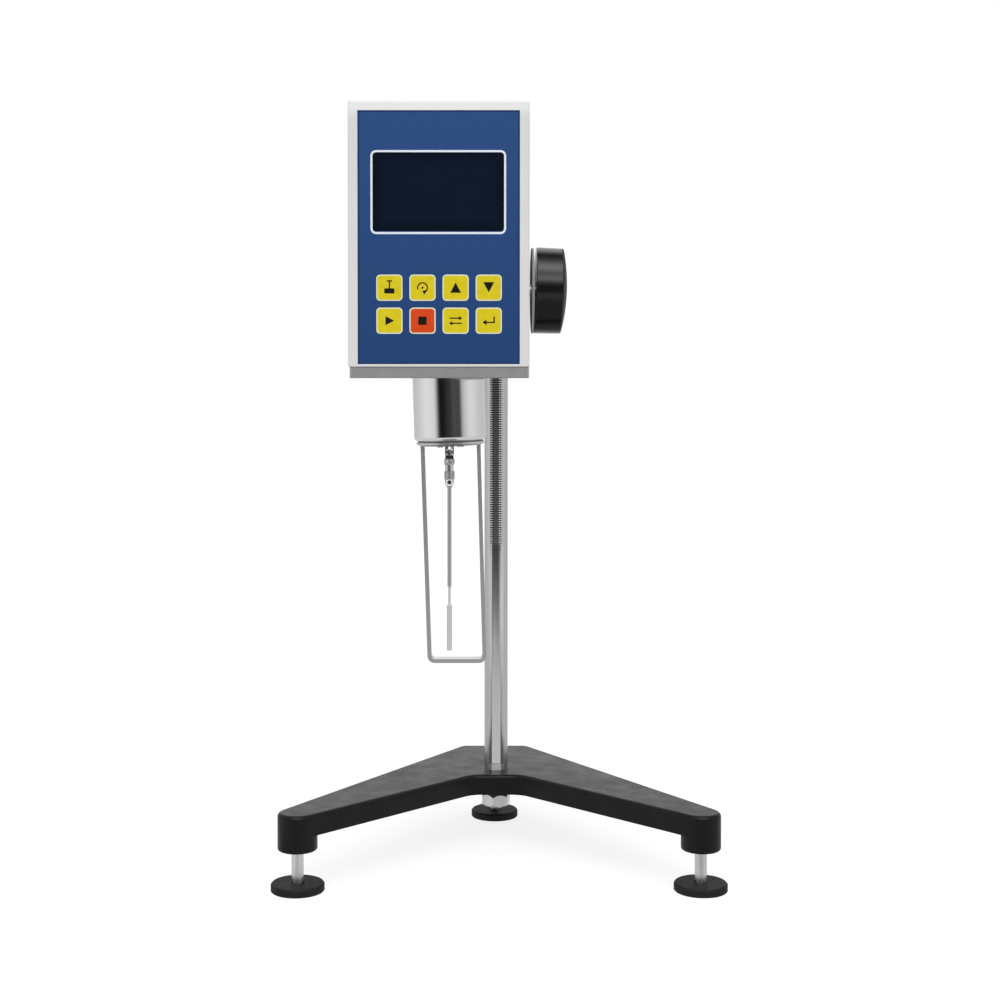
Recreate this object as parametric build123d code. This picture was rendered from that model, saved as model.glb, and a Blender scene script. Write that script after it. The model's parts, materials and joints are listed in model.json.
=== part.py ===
from build123d import *
import math
import os

# Rotational viscometer on a rack-and-pinion stand.
# Millimetres, +Z up, the head faces -Y. z = 0 is the bench under the foot pads.
# Everything is laid out about the column's axis (X = 0, Y = 0) and moved by SHIFT_Y
# when it is written, so that the origin is the bottom centre of the whole object.

# ---------------------------------------------------------------- driving dimensions
SHIFT_Y = 38.175

# stand
FOOT_X, FOOT_Y = 125.0, -114.0          # front feet
REAR_FOOT_Y = 58.0
PLATE_BOTTOM, PLATE_TOP = 35.6, 49.0     # cast base
BOSS_R, BOSS_BOTTOM = 12.4, 25.5
REAR_Y, REAR_HALF = 69.0, 23.5
APEX_Y, APEX_HALF = -21.6, 16.5
PAD_R, PAD_H = 16.65, 5.0
STUD_R, STUD_TOP = 3.75, 36.0
STUD_BORE_TOP = 46.6
COLUMN_R, COLUMN_TOP = 8.0, 474.0
COLUMN_STUB_R = 5.0
SEAT_BOTTOM = 33.5                       # raised seat under the plate for the washer and nut

# rack and pinion
MODULE = 0.5
PITCH = math.pi * MODULE
TEETH = 24
PITCH_R = MODULE * TEETH / 2
RACK_TIP_Y = -7.45
RACK_PITCH_Y = RACK_TIP_Y + MODULE
RACK_ROOT_Y = RACK_TIP_Y + 2.25 * MODULE
RACK_LOW, RACK_HIGH = 203.0, 466.0
PINION_Y, PINION_Z = RACK_PITCH_Y - PITCH_R, 376.6
BACKLASH = 0.14

# lift block
BLOCK = (-54.0, 21.0, -25.0, 16.0, 346.0, 410.0)
ROD_X, ROD_Z, ROD_R = -36.7, 388.0, 7.0

# lift knob
KNOB_R, KNOB_X0, KNOB_RIM_X, KNOB_APEX_X = 29.0, 25.65, 44.4, 47.4
KNOB_SKEW = 1.9                     # the drum is moulded a little out of square with its bore, degrees
FLANGE_X0, FLANGE_X1 = 23.5, 24.7

# measuring head
HEAD_X0, HEAD_X1 = -90.5, 17.1
HEAD_FRONT, HEAD_REAR = -151.0, -39.0
HEAD_BOTTOM, HEAD_TOP = 324.4, 481.4
WALL = 3.0
BEZEL = 5.8
LIP = 1.4
FOOT_PLATE_BOTTOM = 317.5
PANEL_FRONT = -150.6
WINDOW = (-75.9, 2.1, 404.4, 451.2)
KEY_XS = [-65.9, -46.3, -26.7, -7.1]
KEY_ZS = [371.0, 351.5]
KEY_SIZE, KEY_CORNER, KEY_GAP = 15.6, 2.4, 0.12

# measuring system
AX, AY = -31.0, -96.0
CUP_TOP_R, CUP_BOTTOM_R, CUP_BOTTOM, CUP_NECK_R = 22.6, 22.6, 278.85, 20.5
RING_R, RING_TOP, RING_BOTTOM = 21.4, 277.75, 275.5
CUP_LEAN = 1.7                      # the cup and its ring hang a little out of plumb, degrees
GUARD_T, GUARD_D = 2.45, 10.0

os.makedirs("parts", exist_ok=True)
written = {}


# ---------------------------------------------------------------- helpers
def box(x0, x1, y0, y1, z0, z1):
    return Pos((x0 + x1) / 2, (y0 + y1) / 2, (z0 + z1) / 2) * Box(x1 - x0, y1 - y0, z1 - z0)


def cyl_z(x, y, z0, z1, r):
    return Pos(x, y, (z0 + z1) / 2) * Cylinder(r, z1 - z0)


def cyl_x(x0, x1, y, z, r):
    return Pos((x0 + x1) / 2, y, z) * Rot(0, 90, 0) * Cylinder(r, x1 - x0)


def cyl_y(y0, y1, x, z, r):
    return Pos(x, (y0 + y1) / 2, z) * Rot(90, 0, 0) * Cylinder(r, y1 - y0)


def turned(points):
    """A solid turned about Z from (radius, z) points."""
    face = make_face(Polyline(*[(r, 0, z) for r, z in points], close=True))
    return revolve(face, Axis.Z, 360)


def rounded_y(x0, x1, z0, z1, y0, y1, r):
    """A plate from y0 to y1 with rounded corners, seen along Y."""
    s = Rectangle(x1 - x0, z1 - z0)
    s = fillet(s.vertices(), r)
    solid = extrude(s, y1 - y0)
    # sketch X -> X, sketch Y -> Z, extrusion -> -Y
    return Pos((x0 + x1) / 2, y1, (z0 + z1) / 2) * Rot(90, 0, 0) * solid


def polygon_z(points, z0, z1):
    face = make_face(Polyline(*[(x, y, z0) for x, y in points], close=True))
    return extrude(face, z1 - z0, dir=(0, 0, 1))


def polygon_x(points, x0, x1):
    """points are (y, z)."""
    face = make_face(Polyline(*[(x0, y, z) for y, z in points], close=True))
    return extrude(face, x1 - x0, dir=(1, 0, 0))


def hexagon(z0, z1, flats):
    r = flats / math.sqrt(3)
    pts = [(r * math.cos(math.radians(60 * k)), r * math.sin(math.radians(60 * k))) for k in range(6)]
    return polygon_z(pts, z0, z1)


def keep(name, shape):
    solids = shape.solids() if hasattr(shape, "solids") else [shape]
    moved = [Pos(0, SHIFT_Y, 0) * s for s in solids]
    out = moved[0] if len(moved) == 1 else Compound(children=moved)
    out.label = name
    export_step(out, f"parts/{name}.step")
    written[name] = round(sum(s.volume for s in solids))


def tangent(px, py, cx, cy, r, side):
    """Where a line from (px, py) touches the circle; side is +1 or -1."""
    dx, dy = cx - px, cy - py
    d = math.hypot(dx, dy)
    a = math.atan2(dy, dx) + side * math.asin(r / d)
    length = math.sqrt(d * d - r * r)
    return px + length * math.cos(a), py + length * math.sin(a)


# ---------------------------------------------------------------- stand: cast base
ro = tangent(REAR_HALF, REAR_Y, FOOT_X, FOOT_Y, BOSS_R, 1)
ri = tangent(APEX_HALF, APEX_Y, FOOT_X, FOOT_Y, BOSS_R, -1)
outline = [
    (REAR_HALF, REAR_Y), (-REAR_HALF, REAR_Y), (-ro[0], ro[1]), (-ri[0], ri[1]),
    (-APEX_HALF, APEX_Y), (APEX_HALF, APEX_Y), ri, ro,
]
face = make_face(Polyline(*[(x, y) for x, y in outline], close=True))
corner = [v for v in face.vertices() if abs(v.Y - REAR_Y) < 0.01]
face = fillet(corner, 7)
corner = [v for v in face.vertices() if abs(v.Y - APEX_Y) < 0.01]
face = fillet(corner, 16)
plan = face + Pos(FOOT_X, FOOT_Y) * Circle(BOSS_R) + Pos(-FOOT_X, FOOT_Y) * Circle(BOSS_R)
base = Pos(0, 0, PLATE_BOTTOM) * extrude(plan, PLATE_TOP - PLATE_BOTTOM)
base = base + cyl_z(FOOT_X, FOOT_Y, BOSS_BOTTOM, PLATE_TOP - 3, BOSS_R)
base = base + cyl_z(-FOOT_X, FOOT_Y, BOSS_BOTTOM, PLATE_TOP - 3, BOSS_R)
base = base + cyl_z(0, REAR_FOOT_Y, BOSS_BOTTOM, PLATE_TOP - 3, BOSS_R - 1.4)
top_edges = [e for e in base.edges() if abs(e.center().Z - PLATE_TOP) < 0.01]
base = fillet(top_edges, 2.6)
low_edges = [e for e in base.edges().filter_by(GeomType.CIRCLE) if abs(e.center().Z - BOSS_BOTTOM) < 0.01]
base = fillet(low_edges, 1.5)
base = base + cyl_z(0, 0, SEAT_BOTTOM, PLATE_BOTTOM + 1, 12.0)
base = base - cyl_z(0, 0, SEAT_BOTTOM - 1, PLATE_TOP + 1, COLUMN_STUB_R + 0.1)
for fx, fy in ((FOOT_X, FOOT_Y), (-FOOT_X, FOOT_Y), (0, REAR_FOOT_Y)):
    base = base - cyl_z(fx, fy, BOSS_BOTTOM - 1, STUD_BORE_TOP, STUD_R + 0.06)
keep("base_casting", base)

# ---------------------------------------------------------------- stand: column with rack
column = cyl_z(0, 0, PLATE_TOP, COLUMN_TOP, COLUMN_R)
column = chamfer([e for e in column.edges().filter_by(GeomType.CIRCLE) if abs(e.center().Z - COLUMN_TOP) < 0.01], 0.8)
t20 = math.tan(math.radians(20))
half_tip = PITCH / 4 - MODULE * t20
half_root = PITCH / 4 + 1.25 * MODULE * t20
first = -int((PINION_Z - RACK_LOW) / PITCH)
last = int((RACK_HIGH - PINION_Z) / PITCH)
cutter = [(-12.0, PLATE_TOP - 1), (RACK_TIP_Y, PLATE_TOP - 1)]
for k in range(first, last + 1):
    zc = PINION_Z + k * PITCH
    if k == first:
        cutter.append((RACK_TIP_Y, zc - half_tip))
    else:
        cutter.append((RACK_ROOT_Y, zc - half_root))
        cutter.append((RACK_TIP_Y, zc - half_tip))
    if k == last:
        cutter.append((RACK_TIP_Y, COLUMN_TOP + 1))
    else:
        cutter.append((RACK_TIP_Y, zc + half_tip))
        cutter.append((RACK_ROOT_Y, zc + half_root))
cutter.append((-12.0, COLUMN_TOP + 1))
column = column - polygon_x(cutter, -10, 10)
column = column + (cyl_z(0, 0, 21.8, PLATE_TOP, COLUMN_STUB_R) & turned([(0, 21.8), (COLUMN_STUB_R - 0.9, 21.8), (COLUMN_STUB_R, 22.7), (COLUMN_STUB_R, PLATE_TOP), (0, PLATE_TOP)]))
keep("column", column)

nut_top, nut_low = SEAT_BOTTOM - 1.6, 23.7
washer = cyl_z(0, 0, nut_top, SEAT_BOTTOM, 9.6) - cyl_z(0, 0, nut_top - 1, SEAT_BOTTOM + 1, COLUMN_STUB_R + 0.15)
keep("column_washer", washer)
nut = hexagon(nut_low, nut_top, 17.3)
nut = Rot(0, 0, 17) * nut
dress = turned([(0, nut_low), (8.5, nut_low), (9.99, nut_low + 1.1), (9.99, nut_top - 1.9), (8.3, nut_top), (0, nut_top)])
nut = (nut & dress) - cyl_z(0, 0, nut_low - 1, nut_top + 1, COLUMN_STUB_R + 0.05)
keep("column_nut", nut)

# ---------------------------------------------------------------- stand: levelling feet
pad_profile = [
    (0, 0), (PAD_R - 0.5, 0), (PAD_R, 0.5), (PAD_R, PAD_H - 0.9), (PAD_R - 0.8, PAD_H),
    (4.35, PAD_H), (4.35, PAD_H - 0.6), (STUD_R + 0.06, PAD_H - 0.6), (STUD_R + 0.06, 1.8), (0, 1.8),
]
stud_profile = [
    (0, 1.85), (STUD_R, 1.85), (STUD_R, BOSS_BOTTOM + 1.5), (STUD_R, STUD_TOP - 0.8), (STUD_R - 0.8, STUD_TOP), (0, STUD_TOP),
]
for tag, fx, fy in (("left", -FOOT_X, FOOT_Y), ("right", FOOT_X, FOOT_Y), ("rear", 0, REAR_FOOT_Y)):
    keep(f"foot_pad_{tag}", Pos(fx, fy, 0) * turned(pad_profile))
    keep(f"foot_stud_{tag}", Pos(fx, fy, 0) * turned(stud_profile))

# ---------------------------------------------------------------- carriage: lift block
bx0, bx1, by0, by1, bz0, bz1 = BLOCK
block = box(*BLOCK)
block = fillet(block.edges().filter_by(Axis.Z), 4)
block = chamfer([e for e in block.edges() if abs(e.center().Z - bz1) < 0.01 or abs(e.center().Z - bz0) < 0.01], 0.8)
BRAKE_Z = 395.0
block = block - cyl_z(0, 0, bz0 - 1, bz1 + 1, COLUMN_R + 0.06)
block = block - cyl_x(-16.0, bx1 + 1, PINION_Y, PINION_Z, 6.8)
block = block - cyl_y(by0 - 1, by1 + 1, ROD_X, ROD_Z, ROD_R + 0.06)
block = block - cyl_x(bx0 - 1, ROD_X - 5, -4.0, ROD_Z, 3.06)
block = block - cyl_y(5.0, by1 + 1, 0, BRAKE_Z, 4.06)
keep("lift_block", block)

bush_r = cyl_x(8.2, bx1, PINION_Y, PINION_Z, 6.75) - cyl_x(8, bx1 + 1, PINION_Y, PINION_Z, 4.04)
bush_l = cyl_x(-16.0, -8.2, PINION_Y, PINION_Z, 6.75) - cyl_x(-17, -8, PINION_Y, PINION_Z, 4.04)
keep("pinion_bushes", Compound(children=[bush_r, bush_l]))
brake_pad = cyl_y(8.2, 11.2, 0, BRAKE_Z, 4.0)
keep("brake_pad", brake_pad)
brake_screw = cyl_y(11.2, by1 + 0.6, 0, BRAKE_Z, 4.0)
brake_screw = brake_screw - Pos(0, by1 - 1.2, BRAKE_Z) * Rot(90, 0, 0) * Pos(0, 0, -4) * extrude(RegularPolygon(2.3, 6), 4)
keep("brake_screw", brake_screw)

# rod lock screw with its hand knob
lock = cyl_x(-62.0, ROD_X - ROD_R - 0.1, -4.0, ROD_Z, 3.0)
grip = cyl_x(-74.0, -58.0, -4.0, ROD_Z, 10.0)
grip = fillet(grip.edges().filter_by(GeomType.CIRCLE), 1.5)
for k in range(8):
    a = math.radians(45 * k + 22.5)
    grip = grip - cyl_x(-75, -60.5, -4.0 + 11.2 * math.cos(a), ROD_Z + 11.2 * math.sin(a), 2.6)
collar = cyl_x(-58.0, bx0 - 0.1, -4.0, ROD_Z, 6.0)
lock = lock + grip + collar
keep("rod_lock_screw", lock)

# ---------------------------------------------------------------- lift knob and pinion shaft
def involute_flank(base_r, r):
    """Angle that the involute turns through between its base circle and radius r."""
    a = math.acos(min(1.0, base_r / r))
    return math.tan(a) - a


base_r = PITCH_R * math.cos(math.radians(20))
tip_r, root_r = PITCH_R + 0.95 * MODULE, PITCH_R - 1.25 * MODULE
half_at_pitch = (PITCH / 2 - BACKLASH) / 2 / PITCH_R
inv_pitch = involute_flank(base_r, PITCH_R)
gear_pts = []
for k in range(TEETH):
    c = math.radians(90 + (k + 0.5) * 360 / TEETH)
    flank = []
    for r in (max(base_r, root_r) + 0.01, 5.8, 6.0, 6.25, tip_r):
        half = half_at_pitch + inv_pitch - involute_flank(base_r, r)
        flank.append((r, half))
    gear_pts.append((root_r, c - flank[0][1] - 0.02))
    for r, half in flank:
        gear_pts.append((r, c - half))
    for r, half in reversed(flank):
        gear_pts.append((r, c + half))
    gear_pts.append((root_r, c + flank[0][1] + 0.02))
# angle is measured from +Z; the first space centre points along +Y (towards the rack)
gear_yz = [(PINION_Y + r * math.sin(a), PINION_Z + r * math.cos(a)) for r, a in gear_pts]
pinion = polygon_x(gear_yz, -5.5, 5.5)
shaft = cyl_x(-15.6, KNOB_RIM_X - 5, PINION_Y, PINION_Z, 4.0)
shaft = shaft + pinion
keep("pinion_shaft", shaft)

flange = cyl_x(FLANGE_X0, FLANGE_X1, PINION_Y, PINION_Z, KNOB_R - 0.2) - cyl_x(20, 30, PINION_Y, PINION_Z, 4.06)
keep("knob_flange", flange)

# moulded knob: drum with a domed outer face, turned about X
dome_h = KNOB_APEX_X - KNOB_RIM_X
rim_r = KNOB_R - 1.6
R = (rim_r * rim_r + dome_h * dome_h) / (2 * dome_h)
prof = [(0.0, KNOB_X0 + 0.0), (6.0, KNOB_X0)]
prof = [(0, KNOB_X0 + 0.1), (KNOB_R - 0.6, KNOB_X0 + 0.1), (KNOB_R, KNOB_X0 + 0.8), (KNOB_R - 0.3, KNOB_RIM_X - 1.4)]
for k in range(1, 5):
    a = math.radians(90 * k / 4)
    prof.append((KNOB_R - 0.3 - 1.3 + 1.3 * math.cos(a), KNOB_RIM_X - 1.4 + 1.4 * math.sin(a)))
for k in range(1, 15):
    r = rim_r * (1 - k / 14)
    prof.append((r, KNOB_APEX_X - R + math.sqrt(R * R - r * r)))
knob = turned(prof)
mid_x = (KNOB_X0 + KNOB_RIM_X) / 2
knob = Pos(mid_x, PINION_Y, PINION_Z) * Rot(0, KNOB_SKEW, 0) * Pos(-mid_x, 0, 0) * Rot(0, 90, 0) * knob
knob = knob - cyl_x(KNOB_X0 - 1, KNOB_RIM_X - 4.8, PINION_Y, PINION_Z, 4.06)
knob = knob - cyl_z(30.0, PINION_Y, PINION_Z + 3.0, PINION_Z + 40, 2.06)
keep("lift_knob", knob)
keep("knob_set_screw", cyl_z(30.0, PINION_Y, PINION_Z + 4.15, PINION_Z + 24.0, 2.0) - cyl_z(30.0, PINION_Y, PINION_Z + 22.0, PINION_Z + 25, 1.0))

# ---------------------------------------------------------------- head: support rod
rod = cyl_y(HEAD_REAR + 5.0, 26.0, ROD_X, ROD_Z, ROD_R)
rod = chamfer([e for e in rod.edges().filter_by(GeomType.CIRCLE) if abs(e.center().Y - 26.0) < 0.01], 1.0)
flange = cyl_y(HEAD_REAR, HEAD_REAR + 5.0, ROD_X, ROD_Z, 18.0)
flange = chamfer([e for e in flange.edges().filter_by(GeomType.CIRCLE) if abs(e.center().Y - HEAD_REAR - 5) < 0.01], 0.8)
rod = rod + flange
flange_screws = []
for k in range(4):
    a = math.radians(45 + 90 * k)
    sx, sz = ROD_X + 12.8 * math.cos(a), ROD_Z + 12.8 * math.sin(a)
    rod = rod - cyl_y(HEAD_REAR - 1, HEAD_REAR + 6, sx, sz, 2.1)
    s = cyl_y(HEAD_REAR - 4.0, HEAD_REAR + 5.0, sx, sz, 2.0) + cyl_y(HEAD_REAR + 5.0, HEAD_REAR + 7.4, sx, sz, 3.4)
    s = s - Pos(sx, HEAD_REAR + 8, sz) * Rot(90, 0, 0) * extrude(RegularPolygon(1.5, 6), 2.2)
    flange_screws.append(s)
keep("support_rod", rod)

# ---------------------------------------------------------------- head: cover
cover = box(HEAD_X0, HEAD_X1, HEAD_FRONT, HEAD_REAR, HEAD_BOTTOM, HEAD_TOP)
cover = fillet([e for e in cover.edges() if e.center().Z > HEAD_BOTTOM + 1], 1.5)
cover = cover - box(HEAD_X0 + WALL, HEAD_X1 - WALL, HEAD_FRONT + 5.0, HEAD_REAR - WALL, HEAD_BOTTOM - 1, HEAD_TOP - WALL)
OPEN = (HEAD_X0 + BEZEL, HEAD_X1 - BEZEL, HEAD_BOTTOM + LIP, HEAD_TOP - BEZEL)
cover = cover - box(OPEN[0], OPEN[1], HEAD_FRONT - 1, -147.5, OPEN[2], OPEN[3])
cover = cover - box(OPEN[0] + 1.6, OPEN[1] - 1.6, -148, HEAD_FRONT + 6, OPEN[2] + 1.6, OPEN[3] - 1.6)
for k in range(4):
    a = math.radians(45 + 90 * k)
    cover = cover - cyl_y(HEAD_REAR - 4, HEAD_REAR + 1, ROD_X + 12.8 * math.cos(a), ROD_Z + 12.8 * math.sin(a), 2.06)
# rear cut-outs for the mains inlet and the switch
INLET_X, INLET_Z = -68.0, 346.0
SWITCH_X, SWITCH_Z = -6.0, 346.0
cover = cover - box(INLET_X - 13.6, INLET_X + 13.6, HEAD_REAR - 4, HEAD_REAR + 1, INLET_Z - 9.8, INLET_Z + 9.8)
cover = cover - box(SWITCH_X - 6.6, SWITCH_X + 6.6, HEAD_REAR - 4, HEAD_REAR + 1, SWITCH_Z - 9.7, SWITCH_Z + 9.7)
# cooling slots low on both sides, rear half
for k in range(6):
    for side in (HEAD_X0 - 1, HEAD_X1 - WALL - 1):
        cover = cover - box(side, side + WALL + 2, -60 - 8 * k, -57 - 8 * k, 440, 462)
# level vial seat in the roof
LEVEL_X, LEVEL_Y = -36.7, -60.0
cover = cover - cyl_z(LEVEL_X, LEVEL_Y, HEAD_TOP - 4, HEAD_TOP + 1, 9.05)
# side screw holes that hold the cover to the foot plate
side_screws = []
for sy in (-140.0, -50.0):
    for x_in, x_out in ((HEAD_X0 + 6.5, HEAD_X0), (HEAD_X1 - 6.5, HEAD_X1)):
        lo, hi = min(x_in, x_out), max(x_in, x_out)
        cover = cover - cyl_x(min(x_out, x_out - math.copysign(WALL + 1, x_out - x_in)) - 0.5, max(x_out, x_out - math.copysign(WALL + 1, x_out - x_in)) + 0.5, sy, HEAD_BOTTOM + 7, 1.6)
        s = cyl_x(lo, hi, sy, HEAD_BOTTOM + 7, 1.5)
        turn = 90 if x_in > x_out else -90
        cone = Pos(x_out, sy, HEAD_BOTTOM + 7) * Rot(0, turn, 0) * turned([(0, -0.5), (2.9, -0.5), (2.9, 0), (1.55, 1.35), (0, 1.35)])
        cover = cover - cone
        s = (s & box(lo + 0.05, hi - 0.05, sy - 3, sy + 3, HEAD_BOTTOM, HEAD_BOTTOM + 14)) + Pos(x_out, sy, HEAD_BOTTOM + 7) * Rot(0, turn, 0) * turned([(0, 0.05), (2.7, 0.05), (1.45, 1.3), (0, 1.3)])
        cut = box(x_out - 0.7, x_out + 0.7, sy - 1.7, sy + 1.7, HEAD_BOTTOM + 6.7, HEAD_BOTTOM + 7.3) + box(x_out - 0.7, x_out + 0.7, sy - 0.3, sy + 0.3, HEAD_BOTTOM + 5.3, HEAD_BOTTOM + 8.7)
        s = s - cut
        side_screws.append(s)
keep("head_cover", cover)

level_case = cyl_z(LEVEL_X, LEVEL_Y, HEAD_TOP - 8, HEAD_TOP, 9.0) + cyl_z(LEVEL_X, LEVEL_Y, HEAD_TOP, HEAD_TOP + 1.2, 10.5)
level_case = level_case - cyl_z(LEVEL_X, LEVEL_Y, HEAD_TOP - 6.5, HEAD_TOP + 2, 7.5)
keep("level_case", level_case)
vial = cyl_z(LEVEL_X, LEVEL_Y, HEAD_TOP - 6.5, HEAD_TOP + 0.9, 7.4)
vial = vial - Pos(LEVEL_X, LEVEL_Y, HEAD_TOP - 1.4) * Cylinder(2.2, 1.0)
keep("level_vial", vial)

# ---------------------------------------------------------------- head: front panel, display and keys
panel = box(OPEN[0] + 0.1, OPEN[1] - 0.1, PANEL_FRONT, -147.6, OPEN[2] + 0.1, OPEN[3] - 0.1)
panel = panel - box(WINDOW[0], WINDOW[1], PANEL_FRONT - 1, -147, WINDOW[2], WINDOW[3])
BOARD_FRONT = -144.4
BOARD = (-82.0, 9.0, 338.5, 384.0)
board_screws = []
board_posts = [(-79.2, 341.5), (6.2, 341.5), (-79.2, 381.0), (6.2, 381.0)]
for sx, sz in board_posts:
    panel = panel + cyl_y(-147.6, BOARD_FRONT, sx, sz, 2.6)
for kx in KEY_XS:
    for kz in KEY_ZS:
        h = KEY_SIZE / 2 + KEY_GAP
        panel = panel - rounded_y(kx - h, kx + h, kz - h, kz + h, PANEL_FRONT - 1, -147, KEY_CORNER + KEY_GAP)
for sx, sz in board_posts:
    panel = panel - cyl_y(-149.0, BOARD_FRONT + 1, sx, sz, 1.06)
    s = cyl_y(-148.8, BOARD_FRONT + 1.6, sx, sz, 1.0) + cyl_y(BOARD_FRONT + 1.6, BOARD_FRONT + 3.2, sx, sz, 2.0)
    s = s - box(sx - 1.3, sx + 1.3, BOARD_FRONT + 2.6, BOARD_FRONT + 4, sz - 0.25, sz + 0.25)
    board_screws.append(s)
keep("front_panel", panel)
window = box(WINDOW[0] + 0.05, WINDOW[1] - 0.05, PANEL_FRONT + 0.05, -147.6, WINDOW[2] + 0.05, WINDOW[3] - 0.05)
keep("display_window", window)
lcd = box(WINDOW[0] - 3, WINDOW[1] + 3, -147.5, -141.0, WINDOW[2] - 3, WINDOW[3] + 3)
lcd = fillet(lcd.edges().filter_by(Axis.Y), 1.0)
lcd = lcd + box(WINDOW[0] - 5, WINDOW[1] + 5, -141.0, -139.4, WINDOW[2] - 6, WINDOW[3] + 6)
keep("lcd_module", lcd)

KEY_NAMES = [["key_rotor", "key_speed", "key_up", "key_down"], ["key_run", "key_stop", "key_scan", "key_enter"]]
for row, kz in enumerate(KEY_ZS):
    for col, kx in enumerate(KEY_XS):
        h = KEY_SIZE / 2
        key = rounded_y(kx - h, kx + h, kz - h, kz + h, PANEL_FRONT - 0.25, -147.5, KEY_CORNER)
        front = [e for e in key.edges() if abs(e.center().Y - PANEL_FRONT + 0.25) < 0.001]
        key = fillet(front, 0.2)
        key = key + box(kx - h - 0.8, kx + h + 0.8, -147.5, -146.7, kz - h - 0.8, kz + h + 0.8)
        key = key + cyl_y(-146.7, -145.65, kx, kz, 2.0)
        keep(KEY_NAMES[row][col], key)

board = box(BOARD[0], BOARD[1], BOARD_FRONT, BOARD_FRONT + 1.6, BOARD[2], BOARD[3])
for sx, sz in board_posts:
    board = board - cyl_y(BOARD_FRONT - 1, BOARD_FRONT + 3, sx, sz, 1.1)
for kz in KEY_ZS:
    for kx in KEY_XS:
        board = board + box(kx - 3, kx + 3, BOARD_FRONT - 0.6, BOARD_FRONT, kz - 3, kz + 3)
board = board + box(-72, -52, BOARD_FRONT + 1.6, BOARD_FRONT + 4.4, 357, 366)
keep("keypad_board", board)

# ---------------------------------------------------------------- head: electronics
main = box(-84.0, 8.0, -128.0, -126.4, 330.0, 470.0)
for x0, x1, z0, z1, d in ((-80, -62, 440, 458, 3), (-50, -36, 430, 444, 3), (-76, -58, 350, 356, 9), (-8, 4, 440, 466, 8), (-40, -16, 452, 460, 10)):
    main = main + box(x0, x1, -128.0 - d, -128.0, z0, z1)
for x, z, r, h in ((-20, 434, 4, 8), (-10, 434, 4, 8), (2, 420, 5, 8)):
    main = main + cyl_y(-128.0 - h, -128.0, x, z, r)
main = main + box(-84.0, -78.0, -126.4, -121.4, 324.4, 330.0) + box(2.0, 8.0, -126.4, -121.4, 324.4, 330.0)
main = main + box(-84.0, -78.0, -128.0, -121.4, 330.0, 332.0) + box(2.0, 8.0, -128.0, -121.4, 330.0, 332.0)
keep("main_board", main)

psu = box(-86.5, -62.0, -116.0, -74.0, 328.0, 329.6)
psu = psu + box(-84.5, -64.5, -112.0, -82.0, 329.6, 336.0) + box(-84.5, -64.5, -112.0, -82.0, 348.0, 354.4)
psu = psu + box(-83.0, -66.0, -110.0, -84.0, 336.0, 348.0)
psu = psu + cyl_z(-80.0, -78.0, 329.6, 344.0, 3.4) + cyl_z(-70.0, -78.0, 329.6, 344.0, 3.4)
for px, py in ((-84.0, -114.0), (-64.5, -114.0), (-84.0, -76.0), (-64.5, -76.0)):
    psu = psu + cyl_z(px, py, 324.4, 328.0, 2.0)
keep("power_supply", psu)

inlet = rounded_y(INLET_X - 15.5, INLET_X + 15.5, INLET_Z - 12.0, INLET_Z + 12.0, HEAD_REAR, HEAD_REAR + 2.0, 2.5)
inlet = inlet + box(INLET_X - 13.4, INLET_X + 13.4, HEAD_REAR - 22.0, HEAD_REAR, INLET_Z - 9.6, INLET_Z + 9.6)
inlet = inlet - box(INLET_X - 12.0, INLET_X + 12.0, HEAD_REAR - 17.0, HEAD_REAR + 3, INLET_Z - 8.0, INLET_Z + 8.0)
for dx, dz in ((-7.0, -0.8), (0.0, 2.2), (7.0, -0.8)):
    inlet = inlet + box(INLET_X + dx - 1.0, INLET_X + dx + 1.0, HEAD_REAR - 17.5, HEAD_REAR - 1.5, INLET_Z + dz - 2.0, INLET_Z + dz + 2.0)
keep("mains_inlet", inlet)

sw = rounded_y(SWITCH_X - 7.8, SWITCH_X + 7.8, SWITCH_Z - 11.0, SWITCH_Z + 11.0, HEAD_REAR, HEAD_REAR + 1.8, 1.2)
sw = sw + box(SWITCH_X - 6.4, SWITCH_X + 6.4, HEAD_REAR - 15.0, HEAD_REAR, SWITCH_Z - 9.5, SWITCH_Z + 9.5)
sw = sw - box(SWITCH_X - 4.6, SWITCH_X + 4.6, HEAD_REAR - 8.0, HEAD_REAR + 3, SWITCH_Z - 8.0, SWITCH_Z + 8.0)
keep("switch_body", sw)
# rocker: turned about X, resting on its off side
RK_Y = HEAD_REAR - 2.2
rocker_pts = [(-6.9, 0.0), (-7.2, 4.6), (0.0, 3.2), (7.2, 4.6), (6.9, 0.0), (2.6, -2.2), (-2.6, -2.2)]
rocker = polygon_x([(y, z) for z, y in rocker_pts], -4.4, 4.4)
rocker = Pos(SWITCH_X, RK_Y, SWITCH_Z) * Rot(8, 0, 0) * rocker
rocker = rocker - cyl_x(SWITCH_X - 5, SWITCH_X + 5, RK_Y, SWITCH_Z, 0.8)
keep("switch_rocker", rocker)

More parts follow.
